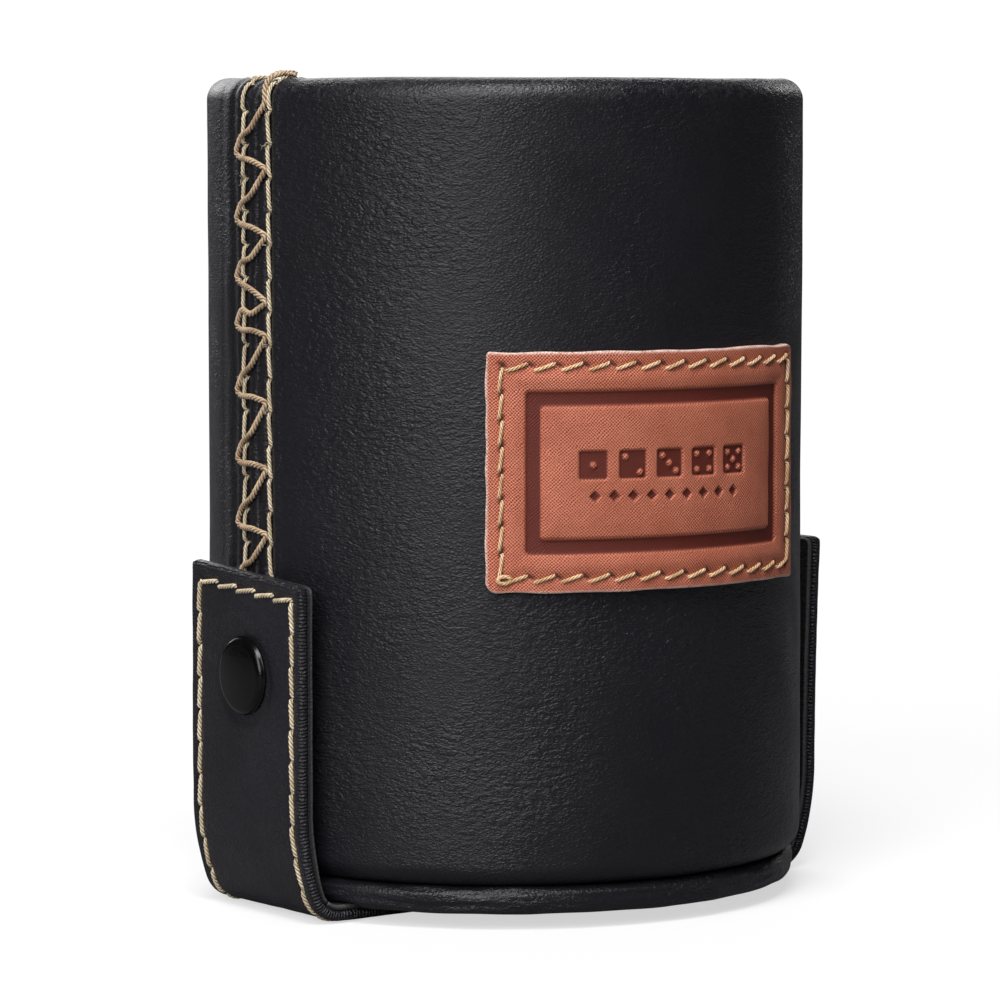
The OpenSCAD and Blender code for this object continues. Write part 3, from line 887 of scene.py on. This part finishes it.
def make_woven_print():
    """Fine cross-hatched grain of a printed tan leather: the product of two slightly broken sets
    of waves along u and v, given in metres, with pores between them. Gives a height from 0 to 1,
    and a slow drift of tone."""
    group = bpy.data.node_groups.new("woven_print", "ShaderNodeTree")
    source, sink = group_sockets(
        group, [("U", "NodeSocketFloat", 0.0), ("V", "NodeSocketFloat", 0.0),
                ("Pitch", "NodeSocketFloat", 0.0005)],
        [("Height", "NodeSocketFloat"), ("Drift", "NodeSocketFloat")])
    place = group.nodes.new("ShaderNodeCombineXYZ")
    group.links.new(source.outputs["U"], place.inputs["X"])
    group.links.new(source.outputs["V"], place.inputs["Y"])
    wander = noise(group, place.outputs[0], 380, 3, 0.6)
    shift = math_node(group, "MULTIPLY", wander, 9.0)
    rate = math_node(group, "DIVIDE", 2 * math.pi, source.outputs["Pitch"])
    waves = []
    for label, sign in (("U", 1.0), ("V", -1.0)):
        turn = math_node(group, "MULTIPLY", source.outputs[label], rate)
        turn = math_node(group, "ADD", turn, math_node(group, "MULTIPLY", shift, sign))
        waves.append(math_node(group, "SINE", turn))
    weave = math_node(group, "MULTIPLY", waves[0], waves[1])
    weave = math_node(group, "MULTIPLY", math_node(group, "ADD", weave, 1.0), 0.4)
    pores = noise(group, place.outputs[0], 3000, 2, 0.6)
    height = math_node(group, "ADD", weave, math_node(group, "MULTIPLY", pores, 0.35))
    group.links.new(height, sink.inputs["Height"])
    group.links.new(noise(group, place.outputs[0], 140, 4, 0.6), sink.inputs["Drift"])
    return group


woven_print = make_woven_print()


def tan_leather():
    """Cognac leather: the woven print in the bump, painted shade in its pits and in the awl slots,
    darker where pressed, pale along the cut edge."""
    material, tree, shader = new_material("tan_leather")
    grain = tree.nodes.new("ShaderNodeGroup")
    grain.node_tree = woven_print
    tree.links.new(attribute(tree, "u"), grain.inputs["U"])
    tree.links.new(attribute(tree, "v"), grain.inputs["V"])
    grain.inputs["Pitch"].default_value = 0.00047
    drift = remap(tree, grain.outputs["Drift"], 0.3, 0.7, 0, 1)
    tone = blend_colour(tree, drift, (0.53, 0.152, 0.088), (0.69, 0.232, 0.143))
    # Painted shade in the low pits of the print.
    pit_shade = remap(tree, grain.outputs["Height"], 0.36, 0.68, 1, 0)
    tone = blend_colour(tree, pit_shade, tone, (0.165, 0.033, 0.016))
    pressed = math_node(tree, "MULTIPLY", attribute(tree, "pressed"), 0.98)
    tone = blend_colour(tree, pressed, tone, (0.097, 0.0140, 0.0078))
    # Painted shade in the awl slots.
    tone = blend_colour(tree, attribute(tree, "slot"), tone, (0.035, 0.010, 0.006))
    fray = noise(tree, object_place(tree), 1600, 3, 0.7)
    raw_edge_and_highlight = math_node(tree, "MULTIPLY", attribute(tree, "raw_edge_and_highlight"), remap(tree, fray, 0.35, 0.55, 0.3, 1))
    tone = blend_colour(tree, raw_edge_and_highlight, tone, (0.76, 0.60, 0.53))
    tree.links.new(tone, shader.inputs["Base Color"])
    tree.links.new(remap(tree, grain.outputs["Drift"], 0.3, 0.7, 0.48, 0.6),
                   shader.inputs["Roughness"])
    tree.links.new(bump(tree, grain.outputs["Height"], 0.00013), shader.inputs["Normal"])
    shader.inputs["Specular IOR Level"].default_value = 0.28
    return material


def quarter_round(edge, radius):
    """How far a surface drops towards an edge that is rounded off with that radius: the gap
    between a quarter circle and the corner it is cut from."""
    return radius * (1 - np.sqrt(1 - (1 - np.clip(edge / radius, 0, 1)) ** 2))


label_u = fine_lines(label_half[0], -13.5 * mm, 13.5 * mm)
label_v = fine_lines(label_half[1], -5 * mm, 4 * mm)
u, v = np.meshgrid(label_u, label_v, indexing="ij")
edge = np.minimum(label_half[0] - np.abs(u), label_half[1] - np.abs(v))
frame_start, frame_end, frame_soft = 5.3 * mm, 7.4 * mm, 0.26 * mm
frame_out = box_distance(u, v, *(label_half - frame_start), 0.6 * mm)
frame_in = box_distance(u, v, *(label_half - frame_end), 0.5 * mm)
in_frame = step_up(frame_out, 0, frame_soft) * (1 - step_up(frame_in, 0, frame_soft))
motif = pressed_motif(u, v)
sewn_at = 2 * mm
inset = label_half - sewn_at
holes_u = np.linspace(-inset[0], inset[0], 14)
holes_v = np.linspace(-inset[1], inset[1], 9)
# The awl leaves slanting slots. The stitches pull their row down, and the margin and the panel
# beside the pressed frame swell.
# The slots are sunk into the face, and the label's colour also paints shade in them.
slots = np.zeros_like(u)
for side in (-1, 1):
    places = [(h + 0.25 * mm, side * inset[1] + 0.3 * mm, -0.55) for h in holes_u]
    places += [(side * inset[0] + 0.15 * mm, h, 2.2) for h in holes_v]
    for hole, across, slope in places:
        run = ((u - hole) + (v - across) * slope) / math.hypot(1, slope)
        off = ((v - across) - (u - hole) * slope) / math.hypot(1, slope)
        slots = np.maximum(slots, np.exp(-(run / (0.75 * mm)) ** 4 - (off / (0.24 * mm)) ** 2))
panel_swell = np.clip(frame_in / (2.2 * mm), 0, 1) ** 0.5 * (frame_in > 0)
sewn = hump(edge, sewn_at, 0.6 * mm)
lift = (label_thickness - quarter_round(edge, 0.3 * mm) - 0.42 * mm * in_frame
        - 0.34 * mm * motif - 0.25 * mm * slots)
lift += (0.22 * mm * hump(edge, 3.8 * mm, 1.0 * mm) + 0.28 * mm * panel_swell
         - 0.16 * mm * sewn)
lift += 0.09 * mm * soft_waves(u, v, v * 0, 14 * mm, 31)
lift += 0.08 * mm * soft_waves(u, v, v * 0, 4.2 * mm, 32) * sewn
base_lift = np.full_like(u, 0.02 * mm)


def on_label(u, v, lift):
    """Points on the label: u round the cup, v up, lift outwards from the cup's wall. Its cut edge
    wavers by a tenth of a millimetre or so."""
    waver = 0.16 * mm * soft_waves(u, v, v * 0, 6 * mm, 33)
    u = u + waver * np.clip((np.abs(u) - label_half[0] + 0.6 * mm) / (0.6 * mm), 0, 1)
    v = v + waver * np.clip((np.abs(v) - label_half[1] + 0.6 * mm) / (0.6 * mm), 0, 1)
    turn = label_turn + u / label_radius
    r = label_radius + lift
    return np.stack([r * np.sin(turn), -r * np.cos(turn), label_middle + v], -1)


raw_edge = np.clip(1.15 - edge / (0.34 * mm), 0, 1)
pressed = np.clip((np.maximum(in_frame, motif) - 0.45) / 0.4, 0, 1)
label = plate("label_patch", label_u, label_v, lift, base_lift, on_label, tan_leather(),
              ((-1, -1, 1.7 * mm), (1, -1, 0.7 * mm), (-1, 1, 0.5 * mm), (1, 1, 1.7 * mm)),
              (("u", u, u), ("v", v, v), ("raw_edge_and_highlight", raw_edge, raw_edge * 0 + 0.6),
               ("pressed", pressed, pressed * 0), ("slot", slots, slots * 0)))
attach(label, "cup")
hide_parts("label_patch")


def on_label_line(along, across, lift):
    """Points and outward normals on the label's face, for stitches: along is u, across is v."""
    points = on_label(along, across, label_thickness + lift)
    outward = points - on_label(along, across, lift * 0)
    return points, outward / np.linalg.norm(outward, axis=-1, keepdims=True)


# Each stitch leans over its slots. The thread ends in a small knot at the lower left corner.
rng = np.random.default_rng(5)
tubes = []
for side in (-1, 1):
    stitches = [((a + 0.65 * mm, side * inset[1]), (b - 0.15 * mm, side * inset[1]), 1.05 * mm)
                for a, b in zip(holes_u[:-1], holes_u[1:])]
    stitches += [((side * inset[0], a + 0.1 * mm), (side * inset[0], b - 0.1 * mm), -0.45 * mm)
                 for a, b in zip(holes_v[:-1], holes_v[1:])]
    for start, end, slant in stitches:
        line = stitch_line(start, end, on_label_line, slant, rng, arch=0.16 * mm)
        tubes += stitch_tubes(line, rng, 0.55 * mm)
loops = np.linspace(0, 1.8 * 2 * np.pi, 40)
path, up = on_label_line(-inset[0] + 0.5 * mm + 0.85 * mm * np.cos(loops),
                         -inset[1] - 0.1 * mm + 0.5 * mm * np.sin(loops),
                         0.2 * mm + 0.25 * mm * np.sin(loops * 0.5) ** 2)
tubes += plied_cord(path, up, 0.6 * mm, 1.7 * mm)
label_thread = cords_piece(
    "label_thread", tubes,
    thread_finish("label_straw", (0.56, 0.33, 0.15), (0.90, 0.64, 0.38)))
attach(label_thread, "cup")
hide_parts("label_thread")


# ---- Tube, boards and linings ----
# The wall is a stiff grey-brown fibre tube. Dark suede lines the throwing cup and the
# compartment, and a board glued across the tube parts the two.


def suede(name, dark, light):
    """Napped suede: short brushed fibres in the bump and the tone, with broad brushed patches."""
    material, tree, shader = new_material(name)
    place = object_place(tree)
    nap = noise(tree, place, 3200, 4, 0.7)
    brushed = noise(tree, place, 60, 4, 0.6)
    tone = blend_colour(tree, remap(tree, brushed, 0.35, 0.65, 0, 1), dark, light)
    tone = blend_colour(tree, remap(tree, nap, 0.35, 0.7, 0.5, 0), tone,
                        tuple(c * 0.5 for c in dark))
    tree.links.new(tone, shader.inputs["Base Color"])
    tree.links.new(bump(tree, nap, 0.00012), shader.inputs["Normal"])
    tree.links.new(remap(tree, brushed, 0.3, 0.7, 0.82, 0.95), shader.inputs["Roughness"])
    shader.inputs["Sheen Weight"].default_value = 0.08
    shader.inputs["Sheen Roughness"].default_value = 0.5
    shader.inputs["Specular IOR Level"].default_value = 0.2
    return material


def fibre_board(name, dark, light):
    """Pressed fibre board: short flecks and a slow change of tone."""
    material, tree, shader = new_material(name)
    place = object_place(tree)
    flecks = noise(tree, place, 900, 5, 0.7, stretch=(1, 1, 0.25))
    tone = blend_colour(tree, remap(tree, flecks, 0.35, 0.65, 0, 1), dark, light)
    tree.links.new(tone, shader.inputs["Base Color"])
    tree.links.new(bump(tree, flecks, 0.00008), shader.inputs["Normal"])
    tree.links.new(remap(tree, flecks, 0.3, 0.7, 0.75, 0.9), shader.inputs["Roughness"])
    return material


def finish_nodes(finish, *names):
    """Gives pieces kept from the model their material."""
    for name in names:
        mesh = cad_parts[name].data
        mesh.materials.clear()
        mesh.materials.append(finish)


finish_nodes(suede("lining_suede", (0.020, 0.015, 0.013), (0.034, 0.026, 0.022)),
             "mouth_lining", "floor_lining", "ceiling_lining", "compartment_lining", "base_pad")
finish_nodes(fibre_board("tube_board", (0.20, 0.15, 0.10), (0.30, 0.24, 0.17)),
             "core_tube", "partition_board", "base_board")


# ---- Base disc ----
# A board covered in the same black leather, drawn round its edge in small gathers and turned in
# on top. It closes the compartment and is glued to the strap below.
base_low, base_high = (np.array(v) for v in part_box("base_cover"))
base_radius = base_high[0]
base_leather = 0.9 * mm
edge_round = 1.35 * mm
arc = np.linspace(0, np.pi / 2, 11)
base_line = np.concatenate([np.stack(np.broadcast_arrays(r, z), -1) for r, z in (
    (np.linspace(base_radius - 7 * mm, base_radius - edge_round, 12), base_high[2]),
    (base_radius - edge_round * (1 - np.sin(arc[1:])),
     base_high[2] - edge_round * (1 - np.cos(arc[1:]))),
    (base_radius - edge_round * (1 - np.cos(arc)), base_low[2] + edge_round * (1 - np.sin(arc))),
    (np.linspace(base_radius - edge_round, 0.2 * mm, 26)[1:], base_low[2]))])
turns = np.arange(360) / 360 * 2 * np.pi
turn, r, z, nr, nz = over_line(turns, base_line, line_normals(base_line))
x0, y0 = r * np.cos(turn), r * np.sin(turn)
# Small gathers and creases run round the edge. Outside the strap the leather sags below it.
gathers = soft_waves(x0, y0, z * 6, 7 * mm, 40)
wander = 3 * soft_waves(x0, y0, z * 0, 16 * mm, 41)
creases = np.sin((z - base_low[2]) / (1.1 * mm) * 2 * np.pi + wander)
lift = hump(r, base_radius, 1.6 * mm) * (0.13 * mm * gathers + 0.07 * mm * creases)
off_strap = step_up(np.abs(y0 + 1.5 * mm), 15.2 * mm, 1.2 * mm)
sag = 0.55 * mm * off_strap * hump(r, base_radius - 1.2 * mm, 3.0 * mm) * (nz < -0.2)
wall = round_wall(turn, r, z - sag * np.clip(-nz, 0, 1), nr, nz, lift, base_leather)
base_hide, _, _ = hide("base_hide", (0.0090, 0.0086, 0.0116), (0.0150, 0.0143, 0.0188),
                       cell=0.0007, wrinkles=1.3, depth=0.00010, rough=(0.30, 0.46))
base_cover = new_piece("base_cover", wall, grid_faces(*wall.shape[:2], True, True)[:, ::-1],
                       base_hide)
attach(base_cover, "base")
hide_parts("base_cover")


# ---- Strap and tabs ----
# One strap of black leather with a thin leather backing runs under the base disc and turns up
# into a tab on each side. Its long edges are wrapped, and a line of straw thread follows them.
strap_half = 14.1 * mm
strap_shift = -1.5 * mm
strap_thickness = 2.4 * mm
leather_thickness = 1.45 * mm
tab_face = 46.2 * mm
tab_top = 49 * mm
tight_radius, tight_turn = 5.0 * mm, math.radians(70)
slack_radius = 36 * mm
row_inset = 2.3 * mm
tight_rise = tight_radius * (1 - math.cos(tight_turn))
slack_rise = slack_radius * math.cos(tight_turn)
bend_start = (tab_face - tight_radius * math.sin(tight_turn)
              - slack_radius * (1 - math.sin(tight_turn)))
tight_length = tight_radius * tight_turn
slack_length = slack_radius * (math.pi / 2 - tight_turn)
tab_start = bend_start + tight_length + slack_length
strap_end = tab_start + tab_top - tight_rise - slack_rise
fold_cut = bend_start + tight_radius * math.pi / 4


def strap_line(s):
    """The strap's outer face in section: x, z and the slope's angle at distance s from the
    middle. It lies flat, turns up round a tight arc, straightens along a slack one, and rises
    upright."""
    turn_a = np.clip((s - bend_start) / tight_radius, 0, tight_turn)
    turn_b = np.clip((s - bend_start - tight_length) / slack_radius, 0, math.pi / 2 - tight_turn)
    angle = turn_a + turn_b
    x = np.minimum(s, bend_start) + tight_radius * np.sin(turn_a)
    z = tight_radius * (1 - np.cos(turn_a))
    x = x + slack_radius * (np.sin(tight_turn + turn_b) - math.sin(tight_turn)) * (turn_b > 0)
    z = z + slack_radius * (math.cos(tight_turn) - np.cos(tight_turn + turn_b)) * (turn_b > 0)
    z = z + np.maximum(s - tab_start, 0)
    return x, z, angle


def strap_place(side):
    """The map from across, along and lift to points: lift goes from the outer face to the cup.
    The left tab was cut 1.8 mm shorter at its front corner. The right one was cut 0.3 mm longer,
    and leans out by 0.9 mm."""
    def place(u, v, lift):
        upward = np.clip((v - tab_start) / (strap_end - tab_start), 0, 1)
        front = (strap_half - u) / (2 * strap_half)
        v = v - upward * (1.8 * mm * front if side < 0 else -0.3 * mm)
        x, z, angle = strap_line(v)
        x = x + (0.9 * mm * upward ** 1.5 if side > 0 else 0)
        return np.stack([side * (x - np.sin(angle) * lift), strap_shift + u,
                         z + np.cos(angle) * lift], -1)
    return place


def edge_lines(low, high, step, close_low, close_high, edge=1.6 * mm):
    """Grid lines from low to high, drawn together at an end that is rounded off, where their
    distances from it are one minus the cosine of even turns."""
    turn = np.linspace(0, np.pi / 2, 9)[:-1]
    end = edge * (1 - np.cos(turn))
    start = low + edge if close_low else low
    stop = high - edge if close_high else high
    middle = np.linspace(start, stop, int((stop - start) / step) + 2)
    return np.concatenate([low + end if close_low else [], middle,
                           (high - end)[::-1] if close_high else []])


def denser(lines, middle, reach, step):
    """The same lines, with an even closer set in place of those within reach of middle."""
    close = np.arange(middle - reach, middle + reach + step / 2, step)
    return np.concatenate([lines[lines < close[0] - step / 3], close,
                           lines[lines > close[-1] + step / 3]])


def wrapped_leather():
    """The strap's black leather: hide grain, fine gathers across the wrapped edges, and thin pale
    scratches in patches. The gathers are the sine of the distance along the strap, and fade with
    the distance from its edge; both distances are stored on the mesh."""
    material, tree, shader = hide("strap_hide", (0.0102, 0.0098, 0.0132), (0.0195, 0.0187, 0.0240),
                                  cell=0.00062, wrinkles=0.8, depth=0.00012, rough=(0.33, 0.52))
    gather_pitch = 0.00052
    turn = math_node(tree, "MULTIPLY", attribute(tree, "along"), 2 * math.pi / gather_pitch)
    wander = noise(tree, object_place(tree), 900, 2, 0.6)
    turn = math_node(tree, "ADD", turn, math_node(tree, "MULTIPLY", wander, 9.0))
    near = remap(tree, attribute(tree, "edge"), 0.0006, 0.0019, 1, 0)
    gathers = math_node(tree, "MULTIPLY", math_node(tree, "SINE", turn), near)
    tree.links.new(bump(tree, gathers, 0.00008, under=feeds(shader, "Normal")),
                   shader.inputs["Normal"])
    scratches = noise(tree, object_place(tree), 240, 3, 0.6, stretch=(1, 5, 1.2))
    scratches = math_node(tree, "ABSOLUTE", math_node(tree, "SUBTRACT", scratches, 0.5))
    scratches = remap(tree, scratches, 0.0, 0.006, 1, 0)
    patches = remap(tree, noise(tree, object_place(tree), 75, 3, 0.6), 0.50, 0.66, 0, 0.8)
    tone = blend_colour(tree, math_node(tree, "MULTIPLY", scratches, patches),
                        feeds(shader, "Base Color"), (0.050, 0.049, 0.053))
    tree.links.new(tone, shader.inputs["Base Color"])
    return material


strap_hide = wrapped_leather()
backing, tree, shader = hide("strap_backing", (0.010, 0.0095, 0.011), (0.020, 0.0185, 0.019),
                             cell=0.0008, wrinkles=0.7, depth=0.00007, rough=(0.6, 0.78))
# Painted highlight: the backing is paler along the back corner of its cut edge.
tone = blend_colour(tree, math_node(tree, "MULTIPLY", attribute(tree, "raw_edge_and_highlight"), 0.6),
                    feeds(shader, "Base Color"), (0.10, 0.095, 0.092))
tree.links.new(tone, shader.inputs["Base Color"])

socket_radius = 4.6 * mm
snap_along = tab_start + snap_height - tight_rise - slack_rise


def socket_well(u, v, room, soft):
    """Share, 0 to 1, that a tab's layers are cut back round its snap's socket: 1 within the
    socket's radius and some room, falling off over the soft distance."""
    return 1 - step_up(np.hypot(u, v - snap_along), socket_radius + room, soft)


def bend_with_strap(piece, is_tab):
    """Bakes a piece of the strap's placement into its points, the same way for a tab as for a run."""
    if is_tab:
        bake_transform(piece)
    else:
        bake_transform(piece)


tab_corners = ((-1, 1, 1.3 * mm), (1, 1, 1.3 * mm))
for side, label in ((-1, "left"), (1, "right")):
    place = strap_place(side)
    for part, low, high in (("run", 0.0, fold_cut), ("tab", fold_cut, strap_end)):
        is_tab = part == "tab"
        corners = tab_corners if is_tab else ()
        # The leather's front is rolled at its edges, sunk along the stitches and round the cap.
        u_lines = edge_lines(-strap_half, strap_half, 0.36 * mm, True, True)
        v_lines = edge_lines(low, high, 0.40 * mm, False, is_tab)
        u, v = np.meshgrid(u_lines, v_lines, indexing="ij")
        edge = strap_half - np.abs(u)
        if is_tab:
            edge = np.minimum(edge, high - v)
        front = (quarter_round(edge, 0.75 * mm) + 0.30 * mm * hump(edge, row_inset, 0.55 * mm)
                 - 0.10 * mm * hump(edge, 1.15 * mm, 0.5 * mm)
                 + 0.06 * mm * soft_waves(u, v, v * 0, 17 * mm, 50 + side)
                 + 0.04 * mm * soft_waves(u, v, v * 0, 6 * mm, 60 + side))
        back = leather_thickness - 0.35 * mm * (1 - np.clip(edge / (0.5 * mm), 0, 1)) ** 2
        if is_tab:
            off = np.hypot(u, v - snap_along)
            front += (0.22 * mm * hump(off, 6.0 * mm, 0.9 * mm)
                      - 0.10 * mm * hump(off, 8.2 * mm, 1.2 * mm))
            back += (0.75 * mm - back) * socket_well(u, v, 0.25 * mm, 0.3 * mm)
        front = np.maximum(front + 0.02 * mm, 0.01 * mm)
        leather = plate(f"{part}_leather_{label}", u_lines, v_lines, front, back, place, strap_hide,
                        corners, (("edge", edge, edge), ("along", v, v)))
        # The backing is a little narrower and skived thin at the fold. A paler strip along the back
        # corner of its edge is a painted highlight.
        trim = 0.25 * mm
        small = strap_half - trim
        u_lines = edge_lines(-small, small, 0.7 * mm, True, True, 0.8 * mm)
        v_lines = edge_lines(low, high - (trim if is_tab else 0), 0.8 * mm, False, is_tab, 0.8 * mm)
        if is_tab:
            u_lines = denser(u_lines, 0, 6 * mm, 0.25 * mm)
            v_lines = denser(v_lines, snap_along, 6 * mm, 0.25 * mm)
        u, v = np.meshgrid(u_lines, v_lines, indexing="ij")
        edge = small - np.abs(u)
        if is_tab:
            edge = np.minimum(edge, v_lines[-1] - v)
        near_face = leather_thickness + 0.02 * mm + quarter_round(edge, 0.25 * mm)
        far_face = (strap_thickness - 0.25 * mm * hump(v, fold_cut + 2 * mm, 4 * mm)
                    - quarter_round(edge, 0.3 * mm)
                    - 0.04 * mm * (1 + soft_waves(u, v, v * 0, 9 * mm, 70)))
        if is_tab:
            well = socket_well(u, v, 0.2 * mm, 0.25 * mm)
            near_face += (0.77 * mm - near_face) * well
            far_face += (0.84 * mm - far_face) * well
        lining = plate(f"{part}_lining_{label}", u_lines, v_lines, near_face, far_face, place,
                       backing, corners, (("raw_edge_and_highlight", edge * 0, hump(edge, 0.05 * mm, 0.16 * mm)),))
        for piece, layer, slot in ((leather, "leather", "black_leather"),
                                   (lining, "lining", "strap_backing")):
            bend_with_strap(piece, is_tab)
            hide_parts(("tab_" if is_tab else "fold_") + layer + "_" + label)
            if side < 0 and not is_tab:
                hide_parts("strap_" + layer)


def on_strap_line(side, turned=False):
    """Points and outward normals on the strap's outer face, for stitches: along is the distance
    from the strap's middle and across is the width, or the other way round when turned."""
    place = strap_place(side)

    def spot(along, across, lift):
        if turned:
            along, across = across, along
        points = place(across, along, 0.28 * mm - lift)
        outward = points - place(across, along, 1 * mm - lift)
        return points, outward / np.linalg.norm(outward, axis=-1, keepdims=True)
    return spot


# A row follows each long edge, and a short one the tab's top. A stitch belongs to the tab or to
# the run by the side of the cut that its middle is on.
row_at = strap_half - row_inset
top_row = strap_end - 2.7 * mm
row_end = 6 * mm
rng = np.random.default_rng(77)
for side, label in ((-1, "left"), (1, "right")):
    rows = {"tab": [], "run": []}
    for edge_side in (-1, 1):
        across = edge_side * row_at
        holes = np.arange(top_row, row_end, -stitch_length)
        for b, a in zip(holes[:-1], holes[1:]):
            line = stitch_line((b + overlap, across), (a - overlap, across),
                               on_strap_line(side), 0.5 * mm * edge_side * side, rng)
            rows["tab" if (a + b) / 2 > fold_cut else "run"] += stitch_tubes(line, rng)
    holes = np.linspace(-row_at, row_at, 6)
    for a, b in zip(holes[:-1], holes[1:]):
        line = stitch_line((a - overlap, top_row), (b + overlap, top_row),
                           on_strap_line(side, True), 0.9 * mm * side, rng)
        rows["tab"] += stitch_tubes(line, rng)
    for part, tubes in rows.items():
        thread = cords_piece(f"{part}_thread_{label}", tubes, straw_thread)
        bend_with_strap(thread, part == "tab")
        if part == "tab":
            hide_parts("tab_thread_" + label)
        elif side < 0:
            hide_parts("strap_thread")


# ---- Snap fasteners ----
# Each tab closes on a press stud. The cap is pressed steel with a satin black coat, clenched
# through the tab to a socket; the stud on the cup is bare nickelled steel, riveted through the
# wall.


def turned_piece(name, line, centre, axis_side, finish, turns=64):
    """A solid of revolution about the X direction: line holds (radius, height) points from the
    middle of the face to the back's middle, and both ends close to a point. y and z are the
    radius times the cosine and the sine of the turn."""
    turn = np.arange(turns) / turns * 2 * np.pi
    r, h = line[1:-1].T
    x = centre[0] + axis_side * np.broadcast_to(h, (turns, len(h))).T
    rings = np.stack([x, centre[1] + np.outer(r, np.cos(turn)),
                      centre[2] + np.outer(r, np.sin(turn)) * axis_side], -1)
    points, faces = closed_tube(rings)
    points[-2] = (centre[0] + axis_side * line[0, 1], centre[1], centre[2])
    points[-1] = (centre[0] + axis_side * line[-1, 1], centre[1], centre[2])
    a, b, c = (points[[f[k] for f in faces]] for k in range(3))
    if np.sum(np.cross(b - a, c - a) * (a - np.array(centre))) < 0:
        faces = [f[::-1] for f in faces]
    return new_piece(name, points, faces, finish)


def coated_steel():
    """Satin black paint on steel: faint orange-peel, and small rubs where the coat has
    polished."""
    material, tree, shader = new_material("satin_black")
    place = object_place(tree)
    peel = noise(tree, place, 1500, 2, 0.5)
    rubs = noise(tree, place, 380, 5, 0.7)
    tone = blend_colour(tree, remap(tree, rubs, 0.55, 0.75, 0, 0.6), (0.0020, 0.0020, 0.0023),
                        (0.007, 0.007, 0.0075))
    tree.links.new(tone, shader.inputs["Base Color"])
    tree.links.new(remap(tree, rubs, 0.3, 0.7, 0.13, 0.24), shader.inputs["Roughness"])
    tree.links.new(bump(tree, peel, 0.00002), shader.inputs["Normal"])
    shader.inputs["Specular IOR Level"].default_value = 0.24
    return material


def nickelled_steel():
    """Nickelled steel: bright, with a fine turned grain and some dulled spots."""
    material, tree, shader = new_material("nickelled_steel")
    place = object_place(tree)
    spots = noise(tree, place, 700, 4, 0.6)
    tone = blend_colour(tree, remap(tree, spots, 0.4, 0.7, 0, 1), (0.62, 0.60, 0.57),
                        (0.46, 0.45, 0.43))
    tree.links.new(tone, shader.inputs["Base Color"])
    tree.links.new(remap(tree, spots, 0.3, 0.7, 0.22, 0.4), shader.inputs["Roughness"])
    tree.links.new(bump(tree, noise(tree, place, 2500, 2, 0.5, stretch=(6, 1, 1)), 0.00002),
                   shader.inputs["Normal"])
    shader.inputs["Metallic"].default_value = 1.0
    return material


# The cap in section: a low dome, a rounded shoulder, and a rim that turns in to a flat back.
arc = np.linspace(0, np.pi / 2, 8)[1:]
dome_radius = 4.3 * mm
dome = np.linspace(0, dome_radius, 14)
cap_line = np.concatenate([
    np.stack([dome, 1.40 * mm - 0.26 * mm * (dome / dome_radius) ** 2], -1),
    np.stack([dome_radius + 1.15 * mm * np.sin(arc),
              1.14 * mm - 0.74 * mm * (1 - np.cos(arc))], -1),
    np.array([[5.55, 0.30], [5.60, 0.18], [5.55, 0.05], [5.3, 0.0], [2.5, 0.0], [0.0, 0.0]]) * mm])
satin_black = coated_steel()
for side, label, stand in ((-1, "left", -0.02 * mm), (1, "right", 0.25 * mm)):
    cap = turned_piece("snap_cap_" + label, cap_line,
                       (side * (tab_face + stand), strap_shift, snap_height), side, satin_black)
    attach(cap, "tab_" + label)
    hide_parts("snap_cap_" + label)
finish_nodes(nickelled_steel(), "snap_studs", "snap_posts", "snap_socket_left", "snap_spring_left",
             "snap_socket_right", "snap_spring_right")
